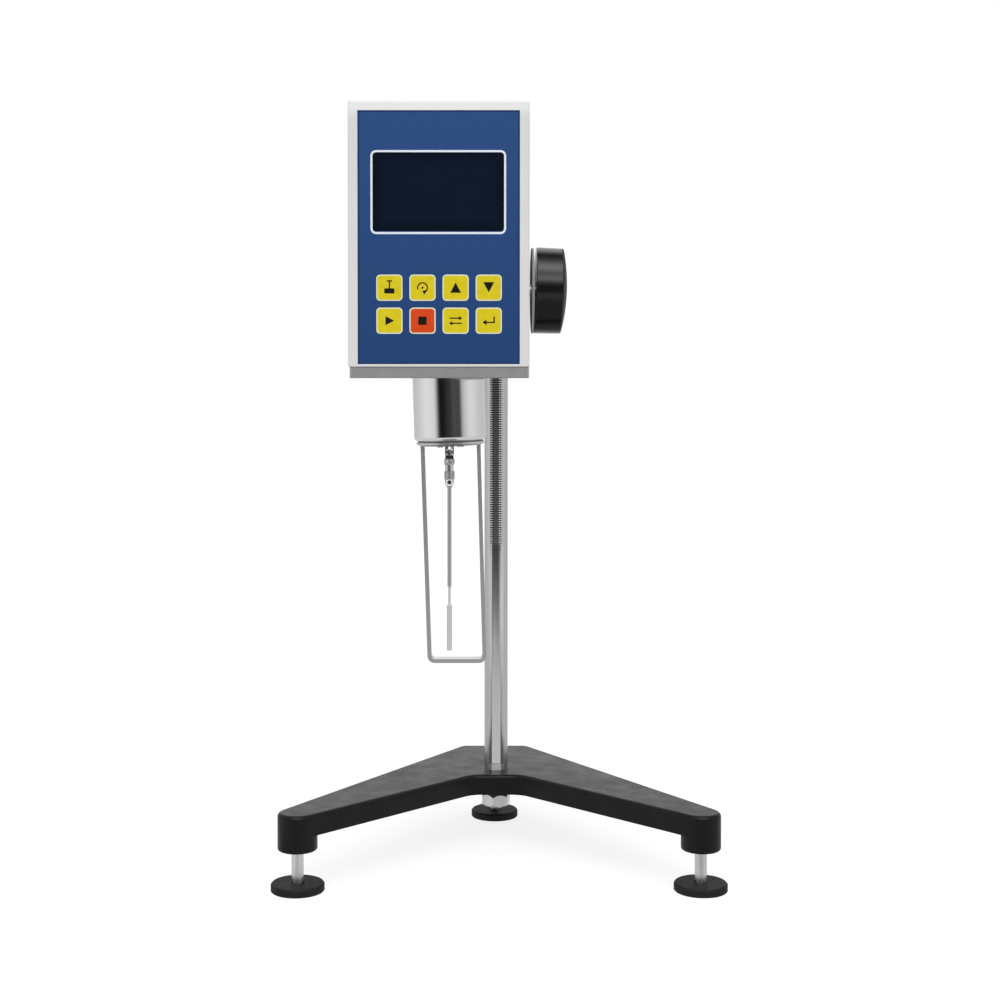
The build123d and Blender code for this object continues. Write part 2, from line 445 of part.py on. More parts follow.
# ---------------------------------------------------------------- head: foot plate, pillars, motor
plate = box(-89.6, 16.9, -150.4, -39.4, FOOT_PLATE_BOTTOM, HEAD_BOTTOM)
plate = chamfer([e for e in plate.edges().filter_by(Axis.Z)] + [e for e in plate.edges() if abs(e.center().Z - FOOT_PLATE_BOTTOM) < 0.01], 0.3)
plate = plate + box(HEAD_X0 + WALL + 0.1, HEAD_X0 + WALL + 6.1, -144.0, -137.0, HEAD_BOTTOM, HEAD_BOTTOM + 12)
plate = plate + box(HEAD_X1 - WALL - 6.1, HEAD_X1 - WALL - 0.1, -144.0, -137.0, HEAD_BOTTOM, HEAD_BOTTOM + 12)
plate = plate + box(HEAD_X0 + WALL + 0.1, HEAD_X0 + WALL + 6.1, -53.0, -46.5, HEAD_BOTTOM, HEAD_BOTTOM + 12)
plate = plate + box(HEAD_X1 - WALL - 6.1, HEAD_X1 - WALL - 0.1, -53.0, -46.5, HEAD_BOTTOM, HEAD_BOTTOM + 12)
for sy in (-140.0, -50.0):
    plate = plate - cyl_x(HEAD_X0, HEAD_X0 + 7.5, sy, HEAD_BOTTOM + 7, 1.56) - cyl_x(HEAD_X1 - 7.5, HEAD_X1, sy, HEAD_BOTTOM + 7, 1.56)
plate = plate - cyl_z(AX, AY, FOOT_PLATE_BOTTOM - 1, HEAD_BOTTOM + 1, 5.05)
PILLARS = [(AX - 22, AY - 22), (AX + 22, AY - 22), (AX - 22, AY + 22), (AX + 22, AY + 22)]
MOTOR_PLATE_Z = 414.0
plate_screws = []
for px, py in PILLARS:
    plate = plate - cyl_z(px, py, FOOT_PLATE_BOTTOM - 1, HEAD_BOTTOM + 1, 1.6)
    plate = plate - turned([(0, FOOT_PLATE_BOTTOM - 0.1), (3.1, FOOT_PLATE_BOTTOM - 0.1), (3.1, FOOT_PLATE_BOTTOM), (1.5, FOOT_PLATE_BOTTOM + 1.6), (0, FOOT_PLATE_BOTTOM + 1.6)]).locate(Location((px, py, 0)))
    s = cyl_z(px, py, FOOT_PLATE_BOTTOM + 0.3, HEAD_BOTTOM + 5, 1.5)
    s = s + turned([(0, FOOT_PLATE_BOTTOM + 0.1), (2.8, FOOT_PLATE_BOTTOM + 0.1), (1.4, FOOT_PLATE_BOTTOM + 1.5), (0, FOOT_PLATE_BOTTOM + 1.5)]).locate(Location((px, py, 0)))
    plate_screws.append(s)
keep("foot_plate", plate)

pillars = []
for px, py in PILLARS:
    p = cyl_z(px, py, HEAD_BOTTOM, MOTOR_PLATE_Z, 4.0) - cyl_z(px, py, HEAD_BOTTOM - 1, HEAD_BOTTOM + 6, 1.56) - cyl_z(px, py, MOTOR_PLATE_Z - 6, MOTOR_PLATE_Z + 1, 1.56)
    pillars.append(p)
keep("pillars", Compound(children=pillars))

mplate = Pos(AX, AY, MOTOR_PLATE_Z + 1.5) * Box(54, 54, 3)
mplate = fillet(mplate.edges().filter_by(Axis.Z), 5)
mplate = mplate - cyl_z(AX, AY, MOTOR_PLATE_Z - 1, MOTOR_PLATE_Z + 4, 11.1)
for px, py in PILLARS:
    mplate = mplate - cyl_z(px, py, MOTOR_PLATE_Z - 1, MOTOR_PLATE_Z + 4, 1.6)
    s = cyl_z(px, py, MOTOR_PLATE_Z - 5, MOTOR_PLATE_Z + 3, 1.5) + cyl_z(px, py, MOTOR_PLATE_Z + 3, MOTOR_PLATE_Z + 5.2, 2.7)
    s = s - (Pos(px, py, MOTOR_PLATE_Z + 3.6) * extrude(RegularPolygon(1.4, 6), 3))
    plate_screws.append(s)
keep("motor_plate", mplate)
keep("head_screws", Compound(children=flange_screws + side_screws + plate_screws + board_screws))

motor = Pos(AX, AY, MOTOR_PLATE_Z + 3 + 15) * Box(35, 35, 30)
motor = chamfer(motor.edges().filter_by(Axis.Z), 4)
motor = motor + cyl_z(AX, AY, MOTOR_PLATE_Z + 0.5, MOTOR_PLATE_Z + 3, 11.0)
motor = motor - cyl_z(AX, AY, MOTOR_PLATE_Z - 1, MOTOR_PLATE_Z + 20, 2.56)
keep("motor", motor)

# ---------------------------------------------------------------- measuring system: drive side
drive = cyl_z(AX, AY, 404.0, MOTOR_PLATE_Z + 18, 2.5) + cyl_z(AX, AY, 399.0, 406.0, 6.0)
drive = drive + cyl_z(AX + 12.6, AY, 389.6, 399.0, 1.0) + box(AX, AX + 13.6, AY - 1.0, AY + 1.0, 399.0, 401.0)
drive = drive - cyl_z(AX, AY, 398.0, 402.5, 1.05)
keep("drive_shaft", drive)
disc = cyl_z(AX, AY, 402.6, 403.4, 15.0) - cyl_z(AX, AY, 402, 404, 6.05)
for k in range(18):
    disc = disc - Pos(AX, AY, 403) * Rot(0, 0, 20 * k) * Pos(12.6, 0, 0) * Box(2.4, 1.6, 3)
disc = disc + (cyl_z(AX, AY, 402.6, 403.4, 7.5) - cyl_z(AX, AY, 402, 404, 6.05))
keep("drive_disc", disc)

# hairspring: flat spiral from the collet to the drive post
turns, n, r0, r1, half_t = 4.0, 96, 4.0, 11.4, 0.15
inner, outer = [], []
for k in range(n + 1):
    a = 2 * math.pi * turns * k / n
    r = r0 + (r1 - r0) * k / n
    inner.append(((r - half_t) * math.cos(a), (r - half_t) * math.sin(a)))
    outer.append(((r + half_t) * math.cos(a), (r + half_t) * math.sin(a)))
spiral = make_face(Wire([Edge.make_spline([Vector(x, y) for x, y in inner]), Edge.make_line(Vector(*inner[-1]), Vector(*outer[-1])),
                         Edge.make_spline([Vector(x, y) for x, y in outer[::-1]]), Edge.make_line(Vector(*outer[0]), Vector(*inner[0]))]))
spring = Pos(AX, AY, 390.4) * extrude(spiral, 1.2)
keep("hairspring", spring)

# ---------------------------------------------------------------- measuring system: measured side
shaft = cyl_z(AX, AY, 273.0 + 4.6, 396.0, 2.0) + cyl_z(AX, AY, 396.0, 402.0, 1.0) + cyl_z(AX, AY, 388.8, 393.4, 3.5)
keep("measuring_shaft", shaft)
disc = cyl_z(AX, AY, 384.6, 385.4, 15.0) - cyl_z(AX, AY, 384, 386, 2.0)
for k in range(18):
    disc = disc - Pos(AX, AY, 385) * Rot(0, 0, 20 * k) * Pos(12.6, 0, 0) * Box(2.4, 1.6, 3)
disc = disc + (cyl_z(AX, AY, 382.0, 388.0, 4.4) - cyl_z(AX, AY, 380, 390, 2.05))
keep("measuring_disc", disc)

bearing = cyl_z(AX, AY, FOOT_PLATE_BOTTOM + 0.5, HEAD_BOTTOM - 0.5, 5.0) - cyl_z(AX, AY, 300, 340, 2.04)
groove = turned([(2.9, 319.5), (4.2, 319.5), (4.2, 318.0 - 1), (2.9, 318.0 - 1)])
bearing = bearing - Pos(AX, AY, 0.6) * groove
keep("shaft_bearing", bearing)

opto = []
for zc in (385.0, 403.0):
    u = box(AX - 3.5, AX + 3.5, AY - 30.4, AY - 13.8, zc - 5.0, zc + 5.0) - box(AX - 4, AX + 4, AY - 19.0, AY - 11, zc - 1.8, zc + 1.8)
    opto.append(u)
keep("disc_sensors", Compound(children=opto))

# ---------------------------------------------------------------- cup, ring and guard under the head
cup = turned([
    (0, FOOT_PLATE_BOTTOM + 2), (CUP_TOP_R, FOOT_PLATE_BOTTOM + 2), (CUP_BOTTOM_R, CUP_BOTTOM + 2.2), (CUP_BOTTOM_R - 0.12, CUP_BOTTOM + 1.3),
    (CUP_BOTTOM_R - 0.5, CUP_BOTTOM + 0.55), (CUP_BOTTOM_R - 1.2, CUP_BOTTOM), (CUP_NECK_R, CUP_BOTTOM), (CUP_NECK_R, RING_TOP), (0, RING_TOP),
])
cup = cup - turned([(0, RING_TOP + 3.2), (CUP_BOTTOM_R - 4, RING_TOP + 3.2), (CUP_BOTTOM_R - 1.8, RING_TOP + 6), (CUP_TOP_R - 1.8, FOOT_PLATE_BOTTOM + 3), (0, FOOT_PLATE_BOTTOM + 3)])
cup = cup - cyl_z(0, 0, RING_TOP - 1, RING_TOP + 6, 6.6)
cup = Pos(AX, AY, 0) * cup
ring = turned([
    (6.6, RING_TOP), (RING_R - 0.3, RING_TOP), (RING_R, RING_TOP - 0.4), (RING_R, RING_TOP - 1.0), (RING_R - 2.0, RING_BOTTOM), (6.6, RING_BOTTOM),
])
ring = Pos(AX, AY, 0) * ring
ring_screws = []
for k in range(4):
    a = math.radians(45 + 90 * k)
    sx, sy = AX + 9.0 * math.cos(a), AY + 9.0 * math.sin(a)
    ring = ring - cyl_z(sx, sy, RING_BOTTOM - 1, RING_TOP + 1, 1.06)
    cup = cup - cyl_z(sx, sy, RING_TOP - 1, RING_TOP + 3.0, 1.06)
    s = cyl_z(sx, sy, RING_BOTTOM - 0.01, RING_TOP + 2.6, 1.0) + cyl_z(sx, sy, RING_BOTTOM - 1.1, RING_BOTTOM, 1.9)
    s = s - box(sx - 0.25, sx + 0.25, sy - 2, sy + 2, RING_BOTTOM - 1.5, RING_BOTTOM - 0.7)
    ring_screws.append(s)
# the whole group turns about a front-to-back line at the plate, and the plate cuts the cup's top flat
lean = Pos(AX - 0.5, AY, FOOT_PLATE_BOTTOM) * Rot(0, -CUP_LEAN, 0) * Pos(-AX, -AY, -FOOT_PLATE_BOTTOM)
cup = lean * cup - box(AX - 40, AX + 40, AY - 40, AY + 40, FOOT_PLATE_BOTTOM, FOOT_PLATE_BOTTOM + 12)
keep("cup", cup)
keep("guard_ring", lean * ring)
keep("ring_screws", Compound(children=[lean * s for s in ring_screws]))

# guard: one flat strip bent into a U, its legs leaning a little
gz_bot, gz_ref, gz_top = 139.15, 275.0, RING_BOTTOM + 2.0
gx_bot = (-43.42, -9.03)
gx_top = (-47.8 + (-43.42 + 47.8) * (gz_top - gz_ref) / (gz_bot - gz_ref), -12.69 + (-9.03 + 12.69) * (gz_top - gz_ref) / (gz_bot - gz_ref))
CORNER = 4.6
path_out = [(gx_top[0] - GUARD_T / 2, gz_top), (gx_bot[0] - GUARD_T / 2, gz_bot), (gx_bot[1] + GUARD_T / 2, gz_bot), (gx_top[1] + GUARD_T / 2, gz_top)]
path_in = [(gx_top[0] + GUARD_T / 2, gz_top), (gx_bot[0] + GUARD_T / 2, gz_bot + GUARD_T), (gx_bot[1] - GUARD_T / 2, gz_bot + GUARD_T), (gx_top[1] - GUARD_T / 2, gz_top)]


def u_shape(pts, radius):
    s = make_face(Polyline(*[(x, z) for x, z in pts], close=True))
    low = sorted(s.vertices(), key=lambda v: v.Y)[:2]
    s = fillet(low, radius)
    return s


guard_face = u_shape(path_out, CORNER) - u_shape(path_in, CORNER - GUARD_T)
guard = Pos(0, AY + GUARD_D / 2, 0) * Rot(90, 0, 0) * extrude(guard_face, GUARD_D)
guard = guard - lean * box(AX - 40, AX + 40, AY - 40, AY + 40, RING_BOTTOM, RING_BOTTOM + 12)
keep("guard_frame", guard)

# ---------------------------------------------------------------- coupling and rotor
# fork on the measuring shaft: two ears in X, the swing pin through them along X
PIN1_Z, PIN2_Z = 271.2, 261.3
fork = cyl_z(0, 0, 269.45, 286.0, 2.85)
fork = fork - box(-1.75, 1.75, -4, 4, 268, 273.1) - cyl_z(0, 0, 277.6, 287, 2.05)
fork = fork + cyl_x(-2.9, 2.9, 0, PIN1_Z, 0.6)
fork = fork - cyl_y(-4, 4, 0, 273.8, 0.85)
fork = Pos(AX, AY, 0) * fork
keep("coupling_fork", fork)

link = cyl_z(0, 0, 266.8, 269.2, 2.6)
link = link + box(-1.5, 1.5, -1.9, 1.9, 269.2, 272.7)
link = link + turned([(0, 266.9), (2.9, 266.9), (3.25, 266.2), (3.3, 265.0), (3.25, 263.8), (2.9, 263.1), (0, 263.1)])
link = link + cyl_z(0, 0, 259.6, 263.1, 2.85)
link = link - cyl_x(-4, 4, 0, PIN1_Z, 0.66)
link = link - box(-4, 4, -1.05, 1.05, 259, 263.2)
link = link + cyl_y(-2.85, 2.85, 0, PIN2_Z, 0.55)
link = Pos(AX, AY, 0) * link
keep("coupling_link", link)

NUT_LOW, NUT_HIGH = 254.2, 259.3
cnut = turned([(1.33, NUT_LOW), (3.05, NUT_LOW), (3.3, NUT_LOW + 0.4), (3.3, NUT_HIGH - 0.4), (3.05, NUT_HIGH), (1.33, NUT_HIGH)])
for k in range(20):
    cnut = cnut - Rot(0, 0, 18 * k) * Pos(3.45, 0, (NUT_LOW + NUT_HIGH) / 2) * Rot(0, 0, 45) * Box(0.42, 0.42, 6)
cnut = Pos(AX, AY, 0) * cnut
keep("coupling_nut", cnut)

EYE_Z = 252.3
rotor = turned([
    (0, 146.4), (1.45, 146.4), (1.65, 146.6), (1.65, 174.9), (1.45, 175.1), (0.85, 175.1), (0.85, 186.0), (1.3, 186.6),
    (1.3, 248.3), (1.6, 249.2), (2.2, 250.2), (2.75, 251.4), (2.9, 252.6), (2.9, 253.7), (2.75, NUT_LOW), (1.3, NUT_LOW), (1.3, 258.6), (0, 258.6),
])
rotor = rotor + (cyl_z(0, 0, 258.1, 259.35, 1.3) & box(-2, 2, -2, 2, 250, 259.6)) + box(-1.3, 1.3, -0.8, 0.8, 259.1, 262.8)
rotor = rotor - cyl_y(-4, 4, 0, PIN2_Z, 0.61)
rotor = rotor - cyl_y(-4, -0.35, 0, EYE_Z, 1.3) - cyl_y(0.35, 4, 0, EYE_Z, 1.3)
rotor = Pos(AX, AY, 0) * rotor
keep("rotor", rotor)

print(len(written), "nodes")
print(sorted(written.items(), key=lambda kv: -kv[1])[:8])
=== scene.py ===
import json
import math
import bmesh
import bpy
from mathutils import Matrix, Vector


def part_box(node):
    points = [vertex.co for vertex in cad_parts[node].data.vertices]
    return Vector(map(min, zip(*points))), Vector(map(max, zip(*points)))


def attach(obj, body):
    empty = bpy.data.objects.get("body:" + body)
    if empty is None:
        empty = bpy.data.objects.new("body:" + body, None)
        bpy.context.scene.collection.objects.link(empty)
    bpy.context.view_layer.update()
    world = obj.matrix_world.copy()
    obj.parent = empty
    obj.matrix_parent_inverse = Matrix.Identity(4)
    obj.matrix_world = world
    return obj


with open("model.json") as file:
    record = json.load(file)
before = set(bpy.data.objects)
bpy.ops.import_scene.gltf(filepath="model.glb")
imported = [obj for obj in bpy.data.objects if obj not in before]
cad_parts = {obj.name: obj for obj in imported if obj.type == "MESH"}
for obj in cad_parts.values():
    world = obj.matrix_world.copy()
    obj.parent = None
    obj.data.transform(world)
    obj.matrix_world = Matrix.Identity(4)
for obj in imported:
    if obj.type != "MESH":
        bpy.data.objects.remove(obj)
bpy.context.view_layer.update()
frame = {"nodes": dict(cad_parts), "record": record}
MM = 0.001
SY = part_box("column")[1].y / MM - 8.0          # column axis to the origin, along Y


def p(x, y, z):
    """Millimetres about the column's axis, to metres in the shared frame."""
    return Vector((x * MM, (y + SY) * MM, z * MM))


# ------------------------------------------------------------------ camera and light
scene = bpy.context.scene
cam_data = bpy.data.cameras.new("camera")
cam = bpy.data.objects.new("camera", cam_data)
scene.collection.objects.link(cam)
cam.location = (-0.019795, -1.073531, 0.317504)
cam.rotation_euler = (math.radians(90 - 1.4788), 0, math.radians(-0.0955))
cam_data.sensor_width = 36
cam_data.lens = 1621 * 36 / 1000
cam_data.shift_x = 0.03
cam_data.shift_y = -0.08
cam_data.clip_start = 0.01
cam_data.clip_end = 50
cam_data.dof.use_dof = False
scene.camera = cam
scene.view_settings.view_transform = "Standard"

world = bpy.data.worlds.new("studio")
scene.world = world
world.use_nodes = True
wn = world.node_tree
wn.nodes.clear()


def wmath(op, a, b=None, clamp=False):
    n = wn.nodes.new("ShaderNodeMath")
    n.operation = op
    n.use_clamp = clamp
    for i, v in enumerate((a, b)):
        if v is None:
            continue
        if hasattr(v, "links"):
            wn.links.new(v, n.inputs[i])
        else:
            n.inputs[i].default_value = v
    return n.outputs[0]


def wramp(value, stops, lo, hi, top):
    """Brightness by angle: stops are (degrees, brightness), the ramp spans lo to hi, top is the brightest value."""
    t = wmath("DIVIDE", wmath("SUBTRACT", value, math.radians(lo)), math.radians(hi - lo), True)
    r = wn.nodes.new("ShaderNodeValToRGB")
    e = r.color_ramp.elements
    while len(e) < len(stops):
        e.new(0.5)
    for k, (deg, b) in enumerate(stops):
        e[k].position = (deg - lo) / (hi - lo)
    for k, (deg, b) in enumerate(stops):
        e[k].color = (b / top, b / top, b / top, 1)
    wn.links.new(t, r.inputs["Fac"])
    return wmath("MULTIPLY", r.outputs["Color"], top)


def wlerp(a, b, f):
    return wmath("ADD", wmath("MULTIPLY", wmath("SUBTRACT", 1.0, f), a), wmath("MULTIPLY", f, b))


def wstep(value, lo, hi):
    """0 below lo, 1 above hi, straight between; lo may be above hi."""
    return wmath("DIVIDE", wmath("SUBTRACT", value, lo), hi - lo, True)


# the studio round the bench: a room lit on all sides, a dark gap in front at bench height, two long
# soft boxes above it, a dark ceiling gap, and a lit wall behind
tc = wn.nodes.new("ShaderNodeTexCoord")
sp = wn.nodes.new("ShaderNodeSeparateXYZ")
wn.links.new(tc.outputs["Generated"], sp.inputs[0])
dx, dy, dz = sp.outputs
ndy = wmath("MULTIPLY", dy, -1.0)
azim = wmath("ARCTAN2", dx, ndy)
over = wmath("ARCTAN2", dz, ndy)
elev = wmath("ARCSINE", dz)
ROOM = [(-180, .58), (-140, .59), (-106, .69), (-86, .80), (-78, .82), (-63, .79), (-49, .72), (-43, .50), (-37, .16), (-32, .03),
        (-28, .008), (-16, .012), (-10, .026), (4, .042), (13, .075), (24, .065), (33, .07), (37, .23), (43, .47), (51, .61),
        (60, .71), (69, .77), (82, .75), (95, .68), (120, .60), (150, .61), (180, .58)]
room = wramp(azim, ROOM, -180, 180, 1.0)
BOXES = [(0, 0.0), (10, 0.03), (15, 0.5), (21, 1.1), (26, 3.2), (32, 3.8), (37, 2.7), (43, 2.1), (49, 2.5), (55, 3.7), (61, 4.6), (67, 4.2),
         (73, 3.15), (80, 2.0), (87, 0.93), (94, 0.4), (102, 0.15), (111, 0.15), (120, 0.75), (132, 1.4), (146, 1.07), (158, 0.95), (168, 1.05), (180, 0.7)]
boxes = wramp(over, BOXES, 0, 180, 5.0)
low = wstep(elev, math.radians(-7.2), math.radians(-9.4))
deep = wmath("MULTIPLY", wstep(over, math.radians(-19), math.radians(-30)), wstep(wmath("ABSOLUTE", dx), 0.36, 0.22))
deep = wmath("MULTIPLY", deep, wstep(over, math.radians(-150), math.radians(-130)))
bench = wlerp(0.66, 0.22, deep)
room_low = wlerp(room, bench, low)
mask = wmath("MULTIPLY", wstep(over, math.radians(9), math.radians(15)), wstep(over, math.radians(178), math.radians(172)))
mask = wmath("MULTIPLY", mask, wstep(wmath("ABSOLUTE", dx), 0.48, 0.30))
light = wlerp(room_low, boxes, mask)
bg_light = wn.nodes.new("ShaderNodeBackground")
wn.links.new(light, bg_light.inputs["Strength"])
bg_light.inputs["Color"].default_value = (1, 1, 1, 1)
bg_plain = wn.nodes.new("ShaderNodeBackground")
bg_plain.inputs["Color"].default_value = (1, 1, 1, 1)
bg_plain.inputs["Strength"].default_value = 1.0
path = wn.nodes.new("ShaderNodeLightPath")
sw = wn.nodes.new("ShaderNodeMixShader")
wn.links.new(path.outputs["Is Camera Ray"], sw.inputs[0])
wn.links.new(bg_light.outputs[0], sw.inputs[1])
wn.links.new(bg_plain.outputs[0], sw.inputs[2])
wo = wn.nodes.new("ShaderNodeOutputWorld")
wn.links.new(sw.outputs[0], wo.inputs["Surface"])


# ------------------------------------------------------------------ node material helpers
def new_mat(name):
    m = bpy.data.materials.new(name)
    m.use_nodes = True
    m.node_tree.nodes.clear()
    out = m.node_tree.nodes.new("ShaderNodeOutputMaterial")
    b = m.node_tree.nodes.new("ShaderNodeBsdfPrincipled")
    m.node_tree.links.new(b.outputs["BSDF"], out.inputs["Surface"])
    return m, m.node_tree, b


def node(nt, kind, **props):
    n = nt.nodes.new(kind)
    for k, v in props.items():
        if k in n.inputs:
            n.inputs[k].default_value = v
        else:
            setattr(n, k, v)
    return n


def coords(nt, scale=(1, 1, 1)):
    tc = nt.nodes.new("ShaderNodeTexCoord")
    mp = nt.nodes.new("ShaderNodeMapping")
    mp.inputs["Scale"].default_value = scale
    nt.links.new(tc.outputs["Object"], mp.inputs["Vector"])
    return mp.outputs["Vector"]


def noise(nt, vec, scale, detail=3.0, rough=0.5):
    n = nt.nodes.new("ShaderNodeTexNoise")
    n.inputs["Scale"].default_value = scale
    n.inputs["Detail"].default_value = detail
    n.inputs["Roughness"].default_value = rough
    nt.links.new(vec, n.inputs["Vector"])
    return n.outputs["Fac"]


def ramp(nt, fac, lo, hi, c0, c1):
    r = nt.nodes.new("ShaderNodeValToRGB")
    r.color_ramp.elements[0].position = lo
    r.color_ramp.elements[1].position = hi
    r.color_ramp.elements[0].color = (*c0, 1)
    r.color_ramp.elements[1].color = (*c1, 1)
    nt.links.new(fac, r.inputs["Fac"])
    return r.outputs["Color"]


def mapr(nt, fac, a, b, lo=0.0, hi=1.0):
    m = nt.nodes.new("ShaderNodeMapRange")
    m.inputs["From Min"].default_value = lo
    m.inputs["From Max"].default_value = hi
    m.inputs["To Min"].default_value = a
    m.inputs["To Max"].default_value = b
    nt.links.new(fac, m.inputs["Value"])
    return m.outputs["Result"]


def bump(nt, bsdf, height, strength, dist, prev=None):
    b = nt.nodes.new("ShaderNodeBump")
    b.inputs["Strength"].default_value = strength
    b.inputs["Distance"].default_value = dist
    nt.links.new(height, b.inputs["Height"])
    if prev is not None:
        nt.links.new(prev, b.inputs["Normal"])
    if bsdf is not None:
        nt.links.new(b.outputs["Normal"], bsdf.inputs["Normal"])
    return b.outputs["Normal"]


def mix(nt, fac, a, b):
    m = nt.nodes.new("ShaderNodeMix")
    m.data_type = "RGBA"
    if hasattr(fac, "links"):
        nt.links.new(fac, m.inputs[0])
    else:
        m.inputs[0].default_value = fac
    for sock, v in ((m.inputs[6], a), (m.inputs[7], b)):
        if hasattr(v, "links"):
            nt.links.new(v, sock)
        else:
            sock.default_value = (*v, 1)
    return m.outputs[2]


def math_node(nt, op, a, b=None, clamp=False):
    n = nt.nodes.new("ShaderNodeMath")
    n.operation = op
    n.use_clamp = clamp
    for i, v in enumerate((a, b)):
        if v is None:
            continue
        if hasattr(v, "links"):
            nt.links.new(v, n.inputs[i])
        else:
            n.inputs[i].default_value = v
    return n.outputs[0]


def split(nt, vec):
    n = nt.nodes.new("ShaderNodeSeparateXYZ")
    nt.links.new(vec, n.inputs[0])
    return n.outputs


def rim(nt, xyz, lo, hi, w0, w1):
    """1 within w0 of the border of the X-Z rectangle lo..hi, falling to 0 at w1, metres."""
    d = None
    for axis in ("X", "Z"):
        k = "XYZ".index(axis)
        for e in (math_node(nt, "SUBTRACT", xyz[k], lo[k]), math_node(nt, "SUBTRACT", hi[k], xyz[k])):
            d = e if d is None else math_node(nt, "MINIMUM", d, e)
    return mapr(nt, d, 1.0, 0.0, w0, w1)


def near(nt, value, centre, w0, w1):
    """1 within w0 of centre, falling to 0 at w1."""
    return mapr(nt, math_node(nt, "ABSOLUTE", math_node(nt, "SUBTRACT", value, centre)), 1.0, 0.0, w0, w1)


def speckled(name, c0, c1, rough0, rough1, scale, bump_s=0.1, bump_d=0.00003, metallic=0.0, spec=0.5, stretch=(1, 1, 1), coat=0.0, coat_rough=0.1, fine=4000):
    """Mottled colour and roughness with a fine bump."""
    m, nt, b = new_mat(name)
    v = coords(nt, stretch)
    n1 = noise(nt, v, scale, 4)
    nt.links.new(ramp(nt, n1, 0.35, 0.68, c0, c1), b.inputs["Base Color"])
    n2 = noise(nt, v, scale * 2.3, 4)
    nt.links.new(mapr(nt, n2, rough0, rough1, 0.3, 0.7), b.inputs["Roughness"])
    n3 = noise(nt, v, fine, 2)
    bump(nt, b, n3, bump_s, bump_d)
    b.inputs["Metallic"].default_value = metallic
    b.inputs["Specular IOR Level"].default_value = spec
    if coat:
        b.inputs["Coat Weight"].default_value = coat
        b.inputs["Coat Roughness"].default_value = coat_rough
    return m


def brushed(name, c0, c1, r0, r1, stretch, scale=900, aniso=0.0, bump_s=0.15):
    """Metal with fine lines; stretch is large across the lines and small along them."""
    m, nt, b = new_mat(name)
    v = coords(nt, stretch)
    n1 = noise(nt, v, scale, 5, 0.6)
    nt.links.new(ramp(nt, n1, 0.3, 0.7, c0, c1), b.inputs["Base Color"])
    nt.links.new(mapr(nt, n1, r0, r1, 0.3, 0.7), b.inputs["Roughness"])
    bump(nt, b, n1, bump_s, 0.00001)
    b.inputs["Metallic"].default_value = 1.0
    b.inputs["Anisotropic"].default_value = aniso
    return m


M = {}
# cast base: black enamel over cast iron, soft waves, fine orange peel and a few casting pits
m, nt, b = new_mat("cast_black")
v = coords(nt)
n_wave = noise(nt, v, 26, 3, 0.5)
n_big = noise(nt, v, 75, 4, 0.6)
n_mid = noise(nt, v, 420, 4, 0.6)
vor = nt.nodes.new("ShaderNodeTexVoronoi")
vor.inputs["Scale"].default_value = 150
vor.inputs["Randomness"].default_value = 1.0
nt.links.new(v, vor.inputs["Vector"])
pit = mapr(nt, vor.outputs["Distance"], 1.0, 0.0, 0.055, 0.12)
pit = math_node(nt, "MULTIPLY", pit, mapr(nt, noise(nt, v, 48, 2), 0.0, 1.0, 0.50, 0.56))
tone = ramp(nt, n_big, 0.3, 0.7, (0.0036, 0.0035, 0.0036), (0.0064, 0.0061, 0.0059))
nt.links.new(mix(nt, pit, tone, (0.002, 0.002, 0.002)), b.inputs["Base Color"])
nt.links.new(math_node(nt, "ADD", mapr(nt, n_big, 0.26, 0.40, 0.3, 0.7), math_node(nt, "MULTIPLY", pit, 0.5)), b.inputs["Roughness"])
nb = bump(nt, None, n_wave, 0.38, 0.0011)
nb = bump(nt, None, n_big, 0.35, 0.0003, nb)
nb = bump(nt, None, n_mid, 0.35, 0.00006, nb)
bump(nt, b, mapr(nt, pit, 1.0, 0.0), 0.6, 0.0003, nb)
b.inputs["Specular IOR Level"].default_value = 0.19
M["cast_black"] = m

# housing: fine satin powder coat, its top strip painted lighter as painted light from above
m, nt, b = new_mat("housing_white")
v = coords(nt)
n1 = noise(nt, v, 24, 3)
n2 = noise(nt, v, 2600, 3, 0.6)
low_c = ramp(nt, n1, 0.3, 0.7, (0.590, 0.590, 0.585), (0.615, 0.615, 0.610))
top_strip_painted_light_c = ramp(nt, n1, 0.3, 0.7, (0.700, 0.708, 0.712), (0.722, 0.728, 0.732))
h_lo, h_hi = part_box("head_cover")
xyz = split(nt, v)
# painted light: the strip along the cover's top is given the lighter colour, as if lit from above
nt.links.new(mix(nt, mapr(nt, xyz[2], 0.0, 1.0, h_hi.z - 0.010, h_hi.z - 0.004), low_c, top_strip_painted_light_c), b.inputs["Base Color"])
nt.links.new(mapr(nt, n2, 0.36, 0.5, 0.3, 0.7), b.inputs["Roughness"])
bump(nt, b, n2, 0.22, 0.00004)
b.inputs["Specular IOR Level"].default_value = 0.35
M["housing_white"] = m

# blue keypad film: fine matt texture, a slight fade downwards, and a darker line of painted shade round its edge where
# it sits in its recess
m, nt, b = new_mat("panel_blue")
v = coords(nt)
xyz = split(nt, v)
p_lo, p_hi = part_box("front_panel")
base = mix(nt, mapr(nt, xyz[2], 0.0, 1.0, p_lo.z, p_hi.z), (0.0125, 0.0465, 0.1500), (0.0195, 0.0640, 0.1920))
n1 = noise(nt, v, 160, 4)
n2 = noise(nt, v, 5200, 2)
base2 = mix(nt, mapr(nt, n1, 0.0, 0.22, 0.35, 0.7), base, (0.0115, 0.0440, 0.1450))
# painted shade: the dark line round the film's edge stands in for the shadow of its recess
border_shade = rim(nt, xyz, p_lo, p_hi, 0.00075, 0.0012)
nt.links.new(mix(nt, border_shade, base2, (0.0115, 0.034, 0.118)), b.inputs["Base Color"])
nt.links.new(mapr(nt, n2, 0.42, 0.55, 0.3, 0.7), b.inputs["Roughness"])
bump(nt, b, n2, 0.2, 0.00002)
b.inputs["Specular IOR Level"].default_value = 0.12
M["panel_blue"] = m

